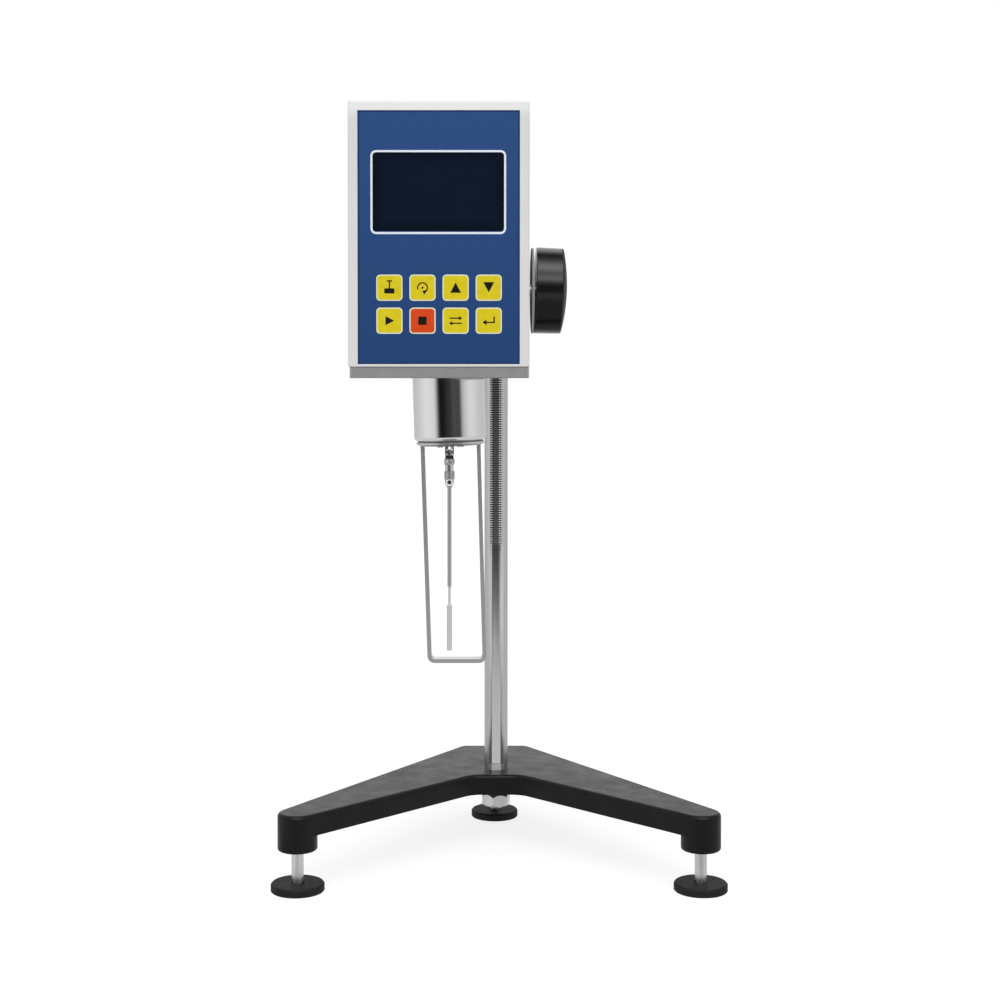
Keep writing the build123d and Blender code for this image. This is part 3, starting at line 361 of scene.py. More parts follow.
# display window: smoked acrylic over the dark glass, a little darker at the rim
m, nt, b = new_mat("display_dark")
v = coords(nt)
xyz = split(nt, v)
w_lo, w_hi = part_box("display_window")
n1 = noise(nt, v, 70, 3)
n2 = noise(nt, v, 26, 2)
inner = mix(nt, n2, (0.0037, 0.0078, 0.0190), (0.0047, 0.0092, 0.0225))
nt.links.new(mix(nt, rim(nt, xyz, w_lo, w_hi, 0.001, 0.007), inner, (0.0030, 0.0056, 0.0120)), b.inputs["Base Color"])
nt.links.new(mapr(nt, n1, 0.07, 0.13, 0.3, 0.7), b.inputs["Roughness"])
b.inputs["Specular IOR Level"].default_value = 0.3
M["display_dark"] = m

M["key_white"] = speckled("key_white", (0.60, 0.63, 0.51), (0.66, 0.69, 0.57), 0.38, 0.5, 300, 0.12, spec=0.3)
M["key_yellow"] = speckled("key_yellow", (0.565, 0.462, 0.0090), (0.620, 0.508, 0.0170), 0.36, 0.5, 240, 0.15, spec=0.10)
M["key_red"] = speckled("key_red", (0.550, 0.052, 0.0075), (0.600, 0.059, 0.0105), 0.36, 0.5, 240, 0.15, spec=0.10)
M["legend_black"] = speckled("legend_black", (0.006, 0.006, 0.004), (0.011, 0.0105, 0.007), 0.5, 0.65, 400, 0.05, spec=0.08)
M["legend_white"] = speckled("legend_white", (0.62, 0.68, 0.76), (0.68, 0.74, 0.81), 0.4, 0.5, 400, 0.05, spec=0.3)
m, nt, b = new_mat("plate_grey")
v = coords(nt)
xyz = split(nt, v)
n1 = noise(nt, coords(nt, (0.35, 60, 60)), 1200, 5, 0.6)
n2 = noise(nt, coords(nt, (1, 1, 0.15)), 260, 3)
f_lo, f_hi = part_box("foot_plate")
ch = ramp(nt, n1, 0.3, 0.7, (0.418, 0.420, 0.420), (0.512, 0.514, 0.514))
ch = mix(nt, mapr(nt, n2, 0.0, 0.18, 0.4, 0.65), ch, (0.36, 0.36, 0.355))
# painted highlight: both ends of the plate are coloured lighter, as their end edges catch the light
ends = mapr(nt, math_node(nt, "ABSOLUTE", math_node(nt, "SUBTRACT", xyz[0], (f_lo.x + f_hi.x) / 2)), 0.0, 0.45, (f_hi.x - f_lo.x) / 2 - 0.0011, (f_hi.x - f_lo.x) / 2 - 0.0004)
ch = mix(nt, ends, ch, (0.80, 0.80, 0.80))
# painted shadow: a thin darker line just under the plate's top edge, below the panel
plate_top = 0.3244
ch = mix(nt, math_node(nt, "MULTIPLY", near(nt, xyz[2], plate_top - 0.0001, 0.00035, 0.0006), 0.45), ch, (0.16, 0.16, 0.16))
nt.links.new(ch, b.inputs["Base Color"])
nt.links.new(mapr(nt, n1, 0.40, 0.56, 0.3, 0.7), b.inputs["Roughness"])
bump(nt, b, n1, 0.2, 0.00001)
b.inputs["Metallic"].default_value = 1.0
M["plate_grey"] = m

# polished nickel of the cup, with painted shade darkening the narrow recess above the ring
m, nt, b = new_mat("chrome")
v = coords(nt)
xyz = split(nt, v)
n1 = noise(nt, coords(nt, (60, 60, 0.6)), 700, 4, 0.6)
ch = ramp(nt, n1, 0.3, 0.7, (0.82, 0.82, 0.82), (0.87, 0.87, 0.868))
c_lo, c_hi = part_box("cup")
cx, cy = -0.0304, (c_lo.y + c_hi.y) / 2
ddx = math_node(nt, "SUBTRACT", xyz[0], cx)
ddy = math_node(nt, "SUBTRACT", xyz[1], cy)
rr = math_node(nt, "SQRT", math_node(nt, "ADD", math_node(nt, "MULTIPLY", ddx, ddx), math_node(nt, "MULTIPLY", ddy, ddy)))
# painted shade: the recess above the ring is coloured dark grey and rougher
groove_shade = math_node(nt, "MULTIPLY", mapr(nt, rr, 1.0, 0.0, 0.0208, 0.0212), mapr(nt, xyz[2], 1.0, 0.0, 0.2800, 0.2802))
nt.links.new(mix(nt, groove_shade, ch, (0.19, 0.19, 0.195)), b.inputs["Base Color"])
nt.links.new(math_node(nt, "ADD", mapr(nt, n1, 0.045, 0.10, 0.3, 0.7), math_node(nt, "MULTIPLY", groove_shade, 0.4)), b.inputs["Roughness"])
bump(nt, b, n1, 0.03, 0.00001)
b.inputs["Metallic"].default_value = 1.0
M["chrome"] = m

# ground column: fine lengthwise lines; the rack's teeth run through a greased strip, their grease-free ends painted
# white as a painted highlight with painted shade in the gaps; the grease has crept down the flat below them, and the
# flat's edges and foot are duller
m, nt, b = new_mat("column_steel")
v = coords(nt)
xyz = split(nt, v)
n1 = noise(nt, coords(nt, (60, 60, 0.5)), 900, 5, 0.6)
n2 = noise(nt, coords(nt, (30, 30, 4)), 60, 3, 0.6)
yc = math_node(nt, "SUBTRACT", xyz[1], SY * MM)
rr = math_node(nt, "SQRT", math_node(nt, "ADD", math_node(nt, "MULTIPLY", xyz[0], xyz[0]), math_node(nt, "MULTIPLY", yc, yc)))
ax = math_node(nt, "ABSOLUTE", xyz[0])


def both(*f):
    r = f[0]
    for g in f[1:]:
        r = math_node(nt, "MULTIPLY", r, g)
    return r


front = mapr(nt, yc, 1.0, 0.0, -0.0066, -0.0062)
ch = mix(nt, both(front, mapr(nt, ax, 1.0, 0.0, 0.0034, 0.0037)), ramp(nt, n1, 0.3, 0.7, (0.55, 0.55, 0.555), (0.64, 0.64, 0.645)), ramp(nt, n1, 0.3, 0.7, (0.70, 0.70, 0.705), (0.80, 0.80, 0.805)))
line = both(near(nt, ax, 0.00335, 0.00025, 0.00060), front, mapr(nt, xyz[2], 1.0, 0.0, 0.104, 0.135), mapr(nt, xyz[2], 0.0, 1.0, 0.072, 0.084))
ch = mix(nt, math_node(nt, "MULTIPLY", line, 0.62), ch, (0.25, 0.25, 0.255))
in_rack = both(mapr(nt, rr, 1.0, 0.0, 0.00788, 0.00794), mapr(nt, yc, 1.0, 0.0, -0.0040, -0.0036), mapr(nt, xyz[2], 0.0, 1.0, 0.20395, 0.20402))
tip = both(in_rack, mapr(nt, yc, 1.0, 0.0, -0.00741, -0.00736))
gap = both(in_rack, mapr(nt, yc, 0.0, 1.0, -0.00741, -0.00736))
land = both(in_rack, mapr(nt, yc, 1.0, 0.0, -0.00706, -0.00700))
deep_gap = both(in_rack, mapr(nt, yc, 0.0, 1.0, -0.00706, -0.00700))
arc = math_node(nt, "ABSOLUTE", math_node(nt, "ADD", xyz[0], 0.0005))
strip = mapr(nt, arc, 1.0, 0.0, 0.0020, 0.0025)
reach = mapr(nt, arc, 1.0, 0.0, 0.0037, 0.0040)
ends = math_node(nt, "SUBTRACT", 1.0, strip)
fade = mapr(nt, xyz[2], 0.10, 1.0, 0.2025, 0.216)
# painted highlight: the grease-free tooth ends are coloured near white and not metallic, fading out lower down
clean_end_highlight = both(land, ends, mapr(nt, n2, 0.80, 1.0, 0.3, 0.6), fade)
ch = mix(nt, clean_end_highlight, ch, (0.90, 0.90, 0.905))
# painted shade: the tooth gaps between those ends are coloured dark
ch = mix(nt, both(deep_gap, ends, reach, fade, mapr(nt, n2, 0.85, 1.0, 0.35, 0.65)), ch, (0.13, 0.13, 0.128))
shallow = both(gap, math_node(nt, "SUBTRACT", 1.0, reach))
ch = mix(nt, shallow, ch, (0.62, 0.62, 0.625))
low = both(front, mapr(nt, xyz[2], 1.0, 0.0, 0.20398, 0.20405))
smear = both(low, near(nt, xyz[0], -0.0005, 0.0014, 0.0025), mapr(nt, xyz[2], 0.0, 1.0, 0.137, 0.196))
ch = mix(nt, math_node(nt, "MULTIPLY", smear, 0.96), ch, (0.33, 0.33, 0.333))
grease = both(in_rack, strip)
n3 = noise(nt, coords(nt), 2600, 3, 0.6)
ch = mix(nt, grease, ch, ramp(nt, n3, 0.35, 0.65, (0.085, 0.085, 0.088), (0.140, 0.140, 0.143)))
# inside the grease the upper tooth tips are coloured lighter
lighter_tips_shaded_gaps = both(grease, tip, mapr(nt, xyz[2], 0.0, 1.0, 0.268, 0.300))
ch = mix(nt, lighter_tips_shaded_gaps, ch, (0.19, 0.19, 0.188))
# painted shade: the upper tooth gaps inside the grease are coloured darker still
lighter_tips_shaded_gaps = both(grease, gap, mapr(nt, xyz[2], 0.0, 1.0, 0.268, 0.300))
ch = mix(nt, lighter_tips_shaded_gaps, ch, (0.045, 0.045, 0.045))
tail = both(front, mapr(nt, xyz[2], 1.0, 0.0, 0.2039, 0.2041), mapr(nt, xyz[2], 0.0, 1.0, 0.108, 0.150))
seams = math_node(nt, "MAXIMUM", near(nt, xyz[0], -0.0026, 0.00022, 0.0006), near(nt, xyz[0], 0.0009, 0.00022, 0.0006))
ch = mix(nt, both(tail, seams, 0.42), ch, (0.25, 0.25, 0.25))
shoulder = both(tail, math_node(nt, "MAXIMUM", mapr(nt, xyz[0], 0.0, 1.0, 0.0020, 0.0028), mapr(nt, xyz[0], 0.5, 0.0, -0.0033, -0.0029)), mapr(nt, xyz[2], 1.0, 0.35, 0.170, 0.203))
ch = mix(nt, shoulder, ch, (0.84, 0.84, 0.845))
wave = math_node(nt, "SINE", math_node(nt, "MULTIPLY", xyz[2], 4000.0))
scars = both(low, near(nt, arc, 0.0030, 0.0007, 0.0010), mapr(nt, xyz[2], 0.0, 0.75, 0.1935, 0.2040))
ch = mix(nt, both(scars, mapr(nt, wave, 0.0, 1.0, -0.2, 0.4)), ch, (0.20, 0.20, 0.20))
foot = both(mapr(nt, xyz[2], 1.0, 0.0, 0.0531, 0.0533), front)
mid = mapr(nt, ax, 1.0, 0.0, 0.0031, 0.0034)
seam = both(near(nt, xyz[2], 0.0534, 0.00016, 0.0003), front, mid)
ch = mix(nt, both(foot, mid), ch, (0.90, 0.90, 0.90))
ch = mix(nt, both(foot, math_node(nt, "SUBTRACT", 1.0, mid)), ch, (0.40, 0.40, 0.40))
ch = mix(nt, seam, ch, (0.30, 0.30, 0.30))
nt.links.new(ch, b.inputs["Base Color"])
ro = mapr(nt, n1, 0.11, 0.20, 0.3, 0.7)
ro = math_node(nt, "ADD", ro, math_node(nt, "MULTIPLY", math_node(nt, "MAXIMUM", foot, math_node(nt, "MAXIMUM", math_node(nt, "MULTIPLY", shoulder, 0.9), in_rack)), 0.45))
ro = math_node(nt, "ADD", ro, both(mapr(nt, xyz[2], 0.12, 0.0, 0.070, 0.092), math_node(nt, "SUBTRACT", 1.0, front)))
nt.links.new(ro, b.inputs["Roughness"])
bump(nt, b, n1, 0.06, 0.00001)
nt.links.new(math_node(nt, "SUBTRACT", 1.0, math_node(nt, "MAXIMUM", shallow, math_node(nt, "MAXIMUM", clean_end_highlight, grease))), b.inputs["Metallic"])
M["column_steel"] = m

M["zinc"] = speckled("zinc", (0.69, 0.695, 0.68), (0.81, 0.815, 0.80), 0.24, 0.34, 70, 0.05, 0.00002, metallic=1.0, stretch=(3, 3, 0.6))
M["guard_steel"] = brushed("guard_steel", (0.64, 0.64, 0.64), (0.78, 0.78, 0.78), 0.26, 0.40, (80, 80, 1.0), 900, 0.0, 0.12)

# coupling steel: small turned and slotted faces, so it looks patchy; the link's slot is painted, painted shade down
# its middle between cheeks painted bright as a painted highlight
m, nt, b = new_mat("coupling_steel")
xyz = split(nt, coords(nt))
c_lo, c_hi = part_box("coupling_link")
n1 = noise(nt, coords(nt, (1, 1, 0.6)), 620, 2, 0.5)
n2 = noise(nt, coords(nt), 1500, 3, 0.5)
ch = ramp(nt, n1, 0.38, 0.62, (0.30, 0.295, 0.295), (0.94, 0.935, 0.93))
ch = mix(nt, 0.25, ch, ramp(nt, n2, 0.3, 0.7, (0.4, 0.4, 0.4), (0.9, 0.9, 0.9)))
cx = math_node(nt, "ADD", math_node(nt, "SUBTRACT", xyz[0], (c_lo.x + c_hi.x) / 2), 0.0003)
n3 = noise(nt, coords(nt, (60, 60, 1.5)), 900, 4, 0.6)
ch = mix(nt, mapr(nt, xyz[2], 1.0, 0.0, 0.2592, 0.2594), ch, ramp(nt, n3, 0.3, 0.7, (0.50, 0.50, 0.495), (0.76, 0.76, 0.75)))
n4 = noise(nt, coords(nt, (1, 1, 1)), 380, 2, 0.5)
ch = mix(nt, math_node(nt, "MULTIPLY", mapr(nt, xyz[2], 0.0, 1.0, 0.2696, 0.2699), mapr(nt, n4, 0.0, 0.85, 0.50, 0.56)), ch, (0.10, 0.10, 0.10))
# painted highlight on the slot's cheeks, then painted shade down the middle of the slot
slot_z = math_node(nt, "MULTIPLY", mapr(nt, xyz[2], 0.0, 1.0, 0.2592, 0.2594), mapr(nt, xyz[2], 1.0, 0.0, 0.2630, 0.2633))
ch = mix(nt, slot_z, ch, (0.93, 0.93, 0.93))
ch = mix(nt, math_node(nt, "MULTIPLY", slot_z, near(nt, cx, 0.0, 0.0008, 0.0011)), ch, (0.33, 0.33, 0.33))
nt.links.new(ch, b.inputs["Base Color"])
nt.links.new(mapr(nt, n2, 0.28, 0.46, 0.3, 0.7), b.inputs["Roughness"])
bump(nt, b, n1, 0.2, 0.00003)
b.inputs["Metallic"].default_value = 1.0
M["coupling_steel"] = m

# turned rotor steel, a dull measuring cylinder below, and painted shade for a blind hole in its eye
m, nt, b = new_mat("rotor_steel")
v = coords(nt)
xyz = split(nt, v)
r_lo, r_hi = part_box("rotor")
n1 = noise(nt, coords(nt, (60, 60, 1.5)), 900, 5, 0.6)
ch = ramp(nt, n1, 0.3, 0.7, (0.58, 0.575, 0.58), (0.72, 0.715, 0.72))
low_r = mapr(nt, xyz[2], 1.0, 0.0, 0.1868, 0.1872)
ch = mix(nt, low_r, ch, ramp(nt, n1, 0.3, 0.7, (0.82, 0.81, 0.81), (0.96, 0.95, 0.945)))
rx = math_node(nt, "SUBTRACT", xyz[0], (r_lo.x + r_hi.x) / 2)
rz = math_node(nt, "SUBTRACT", xyz[2], 0.2523)
rd = math_node(nt, "SQRT", math_node(nt, "ADD", math_node(nt, "MULTIPLY", rx, rx), math_node(nt, "MULTIPLY", rz, rz)))
ry = math_node(nt, "ABSOLUTE", math_node(nt, "SUBTRACT", xyz[1], (r_lo.y + r_hi.y) / 2))
hole = math_node(nt, "MULTIPLY", mapr(nt, rd, 1.0, 0.0, 0.00133, 0.00137), mapr(nt, ry, 1.0, 0.0, 0.0019, 0.0022))
eye = math_node(nt, "MULTIPLY", mapr(nt, rd, 1.0, 0.0, 0.0021, 0.0026), mapr(nt, xyz[1], 1.0, 0.0, (r_lo.y + r_hi.y) / 2 - 0.0006, (r_lo.y + r_hi.y) / 2))
ch = mix(nt, eye, ch, (0.84, 0.84, 0.84))
# painted shade: the blind hole in the eye is coloured dark
ch = mix(nt, hole, ch, (0.12, 0.12, 0.105))
nt.links.new(ch, b.inputs["Base Color"])
rough_up = math_node(nt, "MAXIMUM", hole, math_node(nt, "MAXIMUM", eye, math_node(nt, "MULTIPLY", low_r, 0.6)))
nt.links.new(math_node(nt, "ADD", mapr(nt, n1, 0.28, 0.42, 0.3, 0.7), math_node(nt, "MULTIPLY", rough_up, 0.32)), b.inputs["Roughness"])
bump(nt, b, n1, 0.12, 0.00001)
nt.links.new(math_node(nt, "SUBTRACT", 1.0, math_node(nt, "MAXIMUM", eye, hole)), b.inputs["Metallic"])
M["rotor_steel"] = m
M["screw_steel"] = speckled("screw_steel", (0.50, 0.50, 0.49), (0.64, 0.64, 0.62), 0.22, 0.36, 800, 0.2, 0.00003, metallic=1.0)
M["shaft_steel"] = brushed("shaft_steel", (0.50, 0.50, 0.51), (0.62, 0.62, 0.63), 0.2, 0.32, (60, 60, 60), 400, 0.0, 0.05)
M["pad_black"] = speckled("pad_black", (0.0090, 0.0085, 0.0085), (0.0120, 0.0115, 0.0115), 0.55, 0.72, 180, 0.25, 0.00006, spec=0.2)
m, nt, b = new_mat("knob_black")
v = coords(nt)
xyz = split(nt, v)
n1 = noise(nt, v, 120, 4)
n2 = noise(nt, v, 276, 4)
n3 = noise(nt, v, 500, 2)
k_lo, k_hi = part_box("lift_knob")
up = math_node(nt, "SUBTRACT", xyz[2], (k_lo.z + k_hi.z) / 2)
# painted light: the drum's inner side next to the flange is coloured near white so the narrow gap there reads bright
inner = math_node(nt, "MULTIPLY", mapr(nt, math_node(nt, "SUBTRACT", xyz[0], math_node(nt, "MULTIPLY", up, 0.0332)), 1.0, 0.0, 0.02580, 0.02588), mapr(nt, up, 0.0, 1.0, 0.0040, 0.0048))
nt.links.new(mix(nt, inner, ramp(nt, n1, 0.35, 0.68, (0.0066, 0.0062, 0.0065), (0.0092, 0.0086, 0.0088)), (0.92, 0.92, 0.92)), b.inputs["Base Color"])
nt.links.new(math_node(nt, "ADD", mapr(nt, n2, 0.13, 0.19, 0.3, 0.7), mapr(nt, xyz[0], 0.0, 0.42, 0.0434, 0.0441)), b.inputs["Roughness"])
bump(nt, b, n3, 0.05, 0.00003)
b.inputs["Specular IOR Level"].default_value = 0.38
M["knob_black"] = m
m, nt, b = new_mat("flange_grey")
v = coords(nt)
xyz = split(nt, v)
n1 = noise(nt, v, 300, 4)
# painted light: the flange's left side sits in shade beside the head and is coloured much lighter to make up for it
lit_left_face = mapr(nt, xyz[0], 1.0, 0.0, 0.02352, 0.02358)
nt.links.new(mix(nt, lit_left_face, ramp(nt, n1, 0.35, 0.68, (0.235, 0.222, 0.250), (0.300, 0.284, 0.315)), (0.74, 0.72, 0.77)), b.inputs["Base Color"])
nt.links.new(mapr(nt, noise(nt, v, 690, 4), 0.55, 0.7, 0.3, 0.7), b.inputs["Roughness"])
bump(nt, b, n1, 0.1, 0.00003)
b.inputs["Specular IOR Level"].default_value = 0.3
M["flange_grey"] = m
M["block_black"] = speckled("block_black", (0.016, 0.016, 0.0165), (0.024, 0.024, 0.024), 0.42, 0.6, 500, 0.5, 0.00008, spec=0.4, fine=1800)
M["brass"] = speckled("brass", (0.66, 0.47, 0.19), (0.72, 0.52, 0.22), 0.2, 0.34, 500, 0.2, metallic=1.0)
M["nylon"] = speckled("nylon", (0.72, 0.71, 0.66), (0.80, 0.79, 0.74), 0.4, 0.55, 300, 0.1)
M["lcd_grey"] = speckled("lcd_grey", (0.10, 0.10, 0.11), (0.15, 0.15, 0.16), 0.35, 0.5, 300, 0.2)
M["pcb_green"] = speckled("pcb_green", (0.012, 0.11, 0.04), (0.03, 0.18, 0.07), 0.3, 0.5, 350, 0.3)
M["psu_parts"] = speckled("psu_parts", (0.10, 0.09, 0.07), (0.20, 0.17, 0.11), 0.4, 0.6, 250, 0.3)
M["inlet_black"] = speckled("inlet_black", (0.012, 0.012, 0.012), (0.020, 0.020, 0.020), 0.38, 0.52, 400, 0.3, 0.00005)
M["rocker_black"] = speckled("rocker_black", (0.010, 0.010, 0.010), (0.016, 0.016, 0.016), 0.18, 0.28, 300, 0.1)
M["pillar_alu"] = brushed("pillar_alu", (0.62, 0.62, 0.62), (0.74, 0.74, 0.74), 0.25, 0.4, (60, 60, 2), 700)
M["motor_black"] = speckled("motor_black", (0.02, 0.02, 0.02), (0.04, 0.04, 0.04), 0.4, 0.55, 300, 0.3)
M["disc_alu"] = speckled("disc_alu", (0.5, 0.5, 0.5), (0.66, 0.66, 0.66), 0.25, 0.4, 500, 0.1, metallic=1.0)
M["spring_bronze"] = speckled("spring_bronze", (0.45, 0.28, 0.14), (0.6, 0.4, 0.2), 0.25, 0.4, 700, 0.1, metallic=1.0)

# level vial: tinted liquid under glass
m, nt, b = new_mat("vial_glass")
v = coords(nt)
n1 = noise(nt, v, 200, 3)
nt.links.new(ramp(nt, n1, 0.3, 0.7, (0.42, 0.62, 0.10), (0.52, 0.72, 0.14)), b.inputs["Base Color"])
nt.links.new(mapr(nt, n1, 0.04, 0.08, 0.3, 0.7), b.inputs["Roughness"])
b.inputs["Coat Weight"].default_value = 0.6
b.inputs["Coat Roughness"].default_value = 0.03
M["vial_glass"] = m

slot_of = {s["node"]: s["material_slot"] for s in frame["record"]["subparts"]}
for name in frame["nodes"]:
    obj = bpy.data.objects[name]
    slot = slot_of[name]
    key = "key_white" if slot in ("key_yellow", "key_red") else slot
    obj.data.materials.clear()
    obj.data.materials.append(M[key])


# ------------------------------------------------------------------ mesh helpers
def add_mesh(name, bm, mat, body, smooth=False):
    me = bpy.data.meshes.new(name)
    bmesh.ops.recalc_face_normals(bm, faces=bm.faces)
    bm.to_mesh(me)
    bm.free()
    for poly in me.polygons:
        poly.use_smooth = smooth
    o = bpy.data.objects.new(name, me)
    scene.collection.objects.link(o)
    me.materials.append(mat)
    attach(o, body)
    return o


def rrect(cx, cz, w, h, r, n=7):
    """Outline of a rounded rectangle in X and Z, millimetres."""
    pts = []
    for sx, sz, a0 in ((1, 1, 0), (-1, 1, 90), (-1, -1, 180), (1, -1, 270)):
        for k in range(n + 1):
            a = math.radians(a0 + 90 * k / n)
            pts.append((cx + sx * (w / 2 - r) + r * math.cos(a), cz + sz * (h / 2 - r) + r * math.sin(a)))
    return pts


def film(bm, outline, y0, y1, hole=None, crown=0.0):
    """A thin printed or raised layer from outline points, its front at y0, its back at y1."""
    def ring(pts, y):
        return [bm.verts.new(p(x, y, z)) for x, z in pts]
    f, k = ring(outline, y0), ring(outline, y1)
    n = len(outline)
    for i in range(n):
        bm.faces.new((f[i], f[(i + 1) % n], k[(i + 1) % n], k[i]))
    if hole is None:
        bm.faces.new(f)
        bm.faces.new(k[::-1])
    else:
        hf, hk = ring(hole, y0), ring(hole, y1)
        for i in range(n):
            j = (i + 1) % n
            bm.faces.new((f[i], hf[i], hf[j], f[j]))
            bm.faces.new((k[i], k[j], hk[j], hk[i]))
            bm.faces.new((hf[i], hk[i], hk[j], hf[j]))
    return bm


PF = -150.6
# white printed line around the display
bm = bmesh.new()
film(bm, rrect(-36.93, 427.4, 80.2, 49.5, 3.4), PF - 0.05, PF + 0.02, rrect(-36.93, 427.4, 77.8, 47.0, 2.1))
add_mesh("display_outline", bm, M["legend_white"], "head")

KEY_XS = [-65.9, -46.3, -26.7, -7.1]
KEY_ZS = [371.0, 351.5]
KEYS = [["key_rotor", "key_speed", "key_up", "key_down"], ["key_run", "key_stop", "key_scan", "key_enter"]]
KF = PF - 0.25
for r, kz in enumerate(KEY_ZS):
    for c, kx in enumerate(KEY_XS):
        kname = KEYS[r][c]
        red = kname == "key_stop"
        bm = bmesh.new()
        film(bm, rrect(kx, kz, 14.1, 14.1, 1.8), KF - 0.035, KF + 0.02)
        add_mesh("field_" + kname, bm, M["key_red" if red else "key_yellow"], kname)


def bar(bm, x0, z0, x1, z1, w, y0=KF - 0.06, y1=KF - 0.03):
    dx, dz = x1 - x0, z1 - z0
    L = math.hypot(dx, dz)
    nx, nz = -dz / L * w / 2, dx / L * w / 2
    film(bm, [(x0 + nx, z0 + nz), (x0 - nx, z0 - nz), (x1 - nx, z1 - nz), (x1 + nx, z1 + nz)], y0, y1)


def tri(bm, pts, y0=KF - 0.06, y1=KF - 0.03):
    film(bm, pts, y0, y1)


def arc_band(bm, cx, cz, r, w, a0, a1, n=24, y0=KF - 0.06, y1=KF - 0.03):
    outer = [(cx + (r + w / 2) * math.cos(math.radians(a0 + (a1 - a0) * k / n)), cz + (r + w / 2) * math.sin(math.radians(a0 + (a1 - a0) * k / n))) for k in range(n + 1)]
    inner = [(cx + (r - w / 2) * math.cos(math.radians(a0 + (a1 - a0) * k / n)), cz + (r - w / 2) * math.sin(math.radians(a0 + (a1 - a0) * k / n))) for k in range(n + 1)]
    for k in range(n):
        film(bm, [outer[k], outer[k + 1], inner[k + 1], inner[k]], y0, y1)


def legend(name, draw):
    bm = bmesh.new()
    draw(bm)
    add_mesh("legend_" + name, bm, M["legend_black"], name)


X0, X1, X2, X3 = KEY_XS
Z0, Z1 = KEY_ZS
legend("key_up", lambda bm: tri(bm, [(X2 - 3.2, Z0 - 3.0), (X2 + 3.2, Z0 - 3.0), (X2, Z0 + 3.1)]))
legend("key_down", lambda bm: tri(bm, [(X3 - 3.2, Z0 + 3.3), (X3, Z0 - 2.8), (X3 + 3.2, Z0 + 3.3)]))
legend("key_run", lambda bm: tri(bm, [(X0 - 2.3, Z1 - 2.7), (X0 + 2.8, Z1), (X0 - 2.3, Z1 + 2.7)]))
legend("key_stop", lambda bm: film(bm, rrect(X1, Z1, 4.9, 4.9, 0.3, 2), KF - 0.06, KF - 0.03))


def draw_rotor(bm):
    bar(bm, X0, Z0 + 4.0, X0, Z0 - 0.4, 0.75)
    film(bm, rrect(X0, Z0 - 1.9, 6.0, 3.0, 0.5, 3), KF - 0.06, KF - 0.03)
    bar(bm, X0 - 1.5, Z0 + 4.0, X0 + 1.5, Z0 + 4.0, 0.8)


def draw_speed(bm):
    arc_band(bm, X1, Z0, 2.9, 0.75, -50, 200)
    a = math.radians(-50)
    tx, tz = X1 + 2.9 * math.cos(a), Z0 + 2.9 * math.sin(a)
    tri(bm, [(tx - 1.9, tz + 0.35), (tx + 1.4, tz + 1.1), (tx - 0.9, tz - 1.8)])
    film(bm, rrect(X1, Z0, 1.3, 1.3, 0.6, 4), KF - 0.06, KF - 0.03)


def draw_scan(bm):
    for k, (dz, s) in enumerate(((1.5, 1), (-1.5, -1))):
        bar(bm, X2 - 3.6 * s, Z1 + dz, X2 + 2.2 * s, Z1 + dz, 0.75)
        tri(bm, [(X2 + 1.9 * s, Z1 + dz + 1.25), (X2 + 4.0 * s, Z1 + dz), (X2 + 1.9 * s, Z1 + dz - 1.25)])


def draw_enter(bm):
    bar(bm, X3 + 3.2, Z1 + 2.4, X3 + 3.2, Z1 - 1.35, 0.8)
    bar(bm, X3 + 3.6, Z1 - 1.0, X3 - 1.6, Z1 - 1.0, 0.8)
    tri(bm, [(X3 - 1.3, Z1 + 0.7), (X3 - 3.7, Z1 - 1.0), (X3 - 1.3, Z1 - 2.7)])


legend("key_rotor", draw_rotor)
legend("key_speed", draw_speed)
legend("key_scan", draw_scan)
legend("key_enter", draw_enter)


# black sleeve of the coupling, over the blackened band of the link
def lathe(name, prof, centre, mat, body, n=48):
    """prof: (r, z) millimetres, closed ring profile turned about a vertical line through centre."""
    bm = bmesh.new()
    rings = []
    for k in range(n):
        a = 2 * math.pi * k / n
        rings.append([bm.verts.new(p(centre[0] + r * math.cos(a), centre[1] + r * math.sin(a), z)) for r, z in prof])
    m_ = len(prof)
    for k in range(n):
        j = (k + 1) % n
        for i in range(m_):
            q = (i + 1) % m_
            bm.faces.new((rings[k][i], rings[j][i], rings[j][q], rings[k][q]))
    o = add_mesh(name, bm, mat, body, smooth=True)
    return o


lathe("coupling_band", [(2.55, 266.95), (2.66, 267.05), (2.66, 269.05), (2.55, 269.15)], (-31.0, -96.0), M["block_black"], "link")

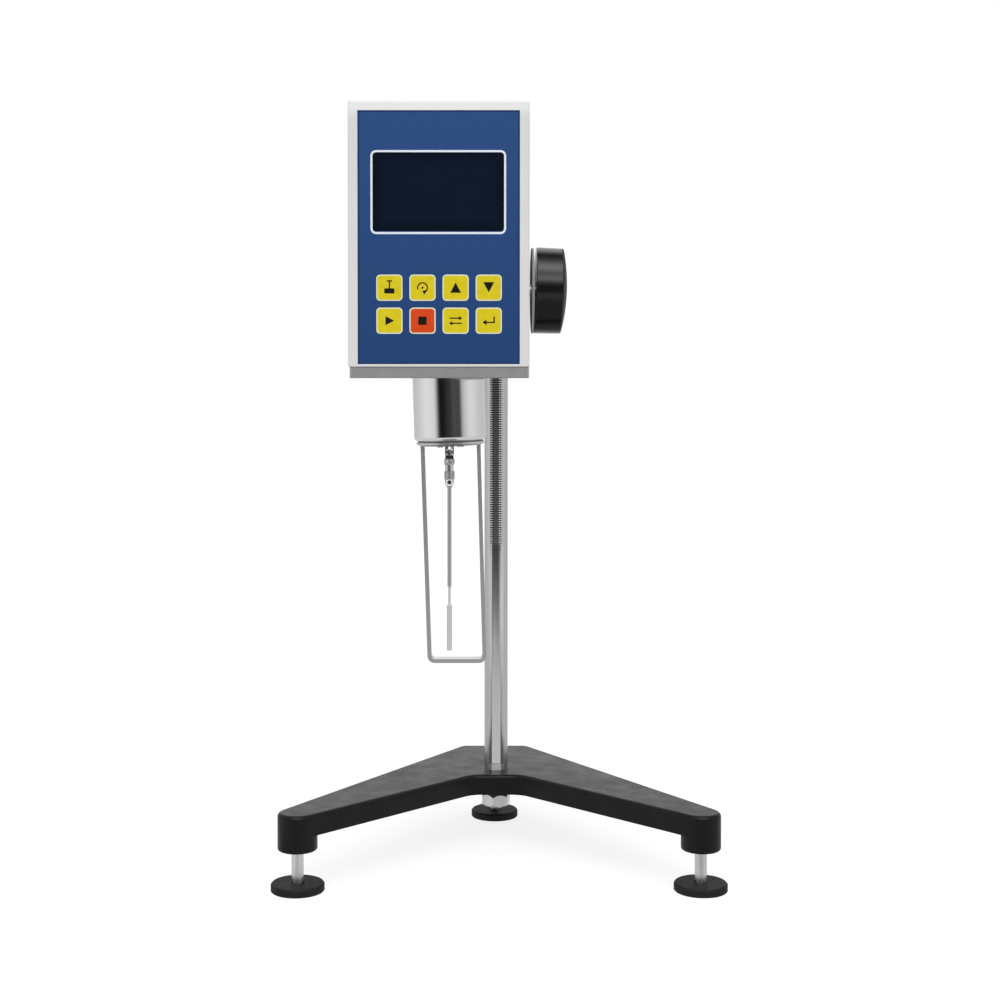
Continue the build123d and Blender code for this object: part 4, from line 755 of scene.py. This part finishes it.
# ring mark on the level vial
bm = bmesh.new()
n = 40
for r0, r1 in ((2.6, 2.95),):
    vs = [[bm.verts.new(p(-36.7 + r * math.cos(2 * math.pi * k / n), -60 + r * math.sin(2 * math.pi * k / n), z)) for r, z in ((r0, 482.28), (r1, 482.28), (r1, 482.34), (r0, 482.34))] for k in range(n)]
    for k in range(n):
        j = (k + 1) % n
        for i in range(4):
            q = (i + 1) % 4
            bm.faces.new((vs[k][i], vs[j][i], vs[j][q], vs[k][q]))
add_mesh("level_ring", bm, M["legend_black"], "head")

# metal skins on the inlet's pins
for k, (dx, dz) in enumerate(((-7.0, -0.8), (0.0, 2.2), (7.0, -0.8))):
    bm = bmesh.new()
    cx, cz = -68.0 + dx, 346.0 + dz
    w, h = 2.12, 4.12
    back, front, tip = -56.0, -41.0, -40.42
    rings = []
    for y, s in ((back, 1.0), (front, 1.0), (tip, 0.72)):
        rings.append([bm.verts.new(p(cx + sx * w / 2 * (s if y == tip else 1), y, cz + sz * h / 2 * (0.86 if y == tip else 1))) for sx, sz in ((1, 1), (-1, 1), (-1, -1), (1, -1))])
    for a, b2 in ((0, 1), (1, 2)):
        for i in range(4):
            j = (i + 1) % 4
            bm.faces.new((rings[a][i], rings[a][j], rings[b2][j], rings[b2][i]))
    bm.faces.new(rings[2])
    bm.faces.new(rings[0][::-1])
    add_mesh(f"inlet_pin_{k + 1}", bm, M["screw_steel"], "head")

# ------------------------------------------------------------------ floor
m, nt, b = new_mat("floor_pale")
v = coords(nt)
n1 = noise(nt, v, 6, 3)
nt.links.new(ramp(nt, n1, 0.3, 0.7, (0.205, 0.205, 0.205), (0.22, 0.22, 0.22)), b.inputs["Base Color"])
b.inputs["Roughness"].default_value = 0.9
b.inputs["Specular IOR Level"].default_value = 0.0
b.inputs["Emission Color"].default_value = (1, 1, 1, 1)
b.inputs["Emission Strength"].default_value = 0.82
me = bpy.data.meshes.new("floor")
bm = bmesh.new()
s = 14.0
vs = [bm.verts.new((x, y, 0)) for x, y in ((-s, -s), (s, -s), (s, s), (-s, s))]
bm.faces.new(vs)
bm.to_mesh(me)
bm.free()
floor = bpy.data.objects.new("floor", me)
scene.collection.objects.link(floor)
me.materials.append(m)
floor.visible_glossy = False
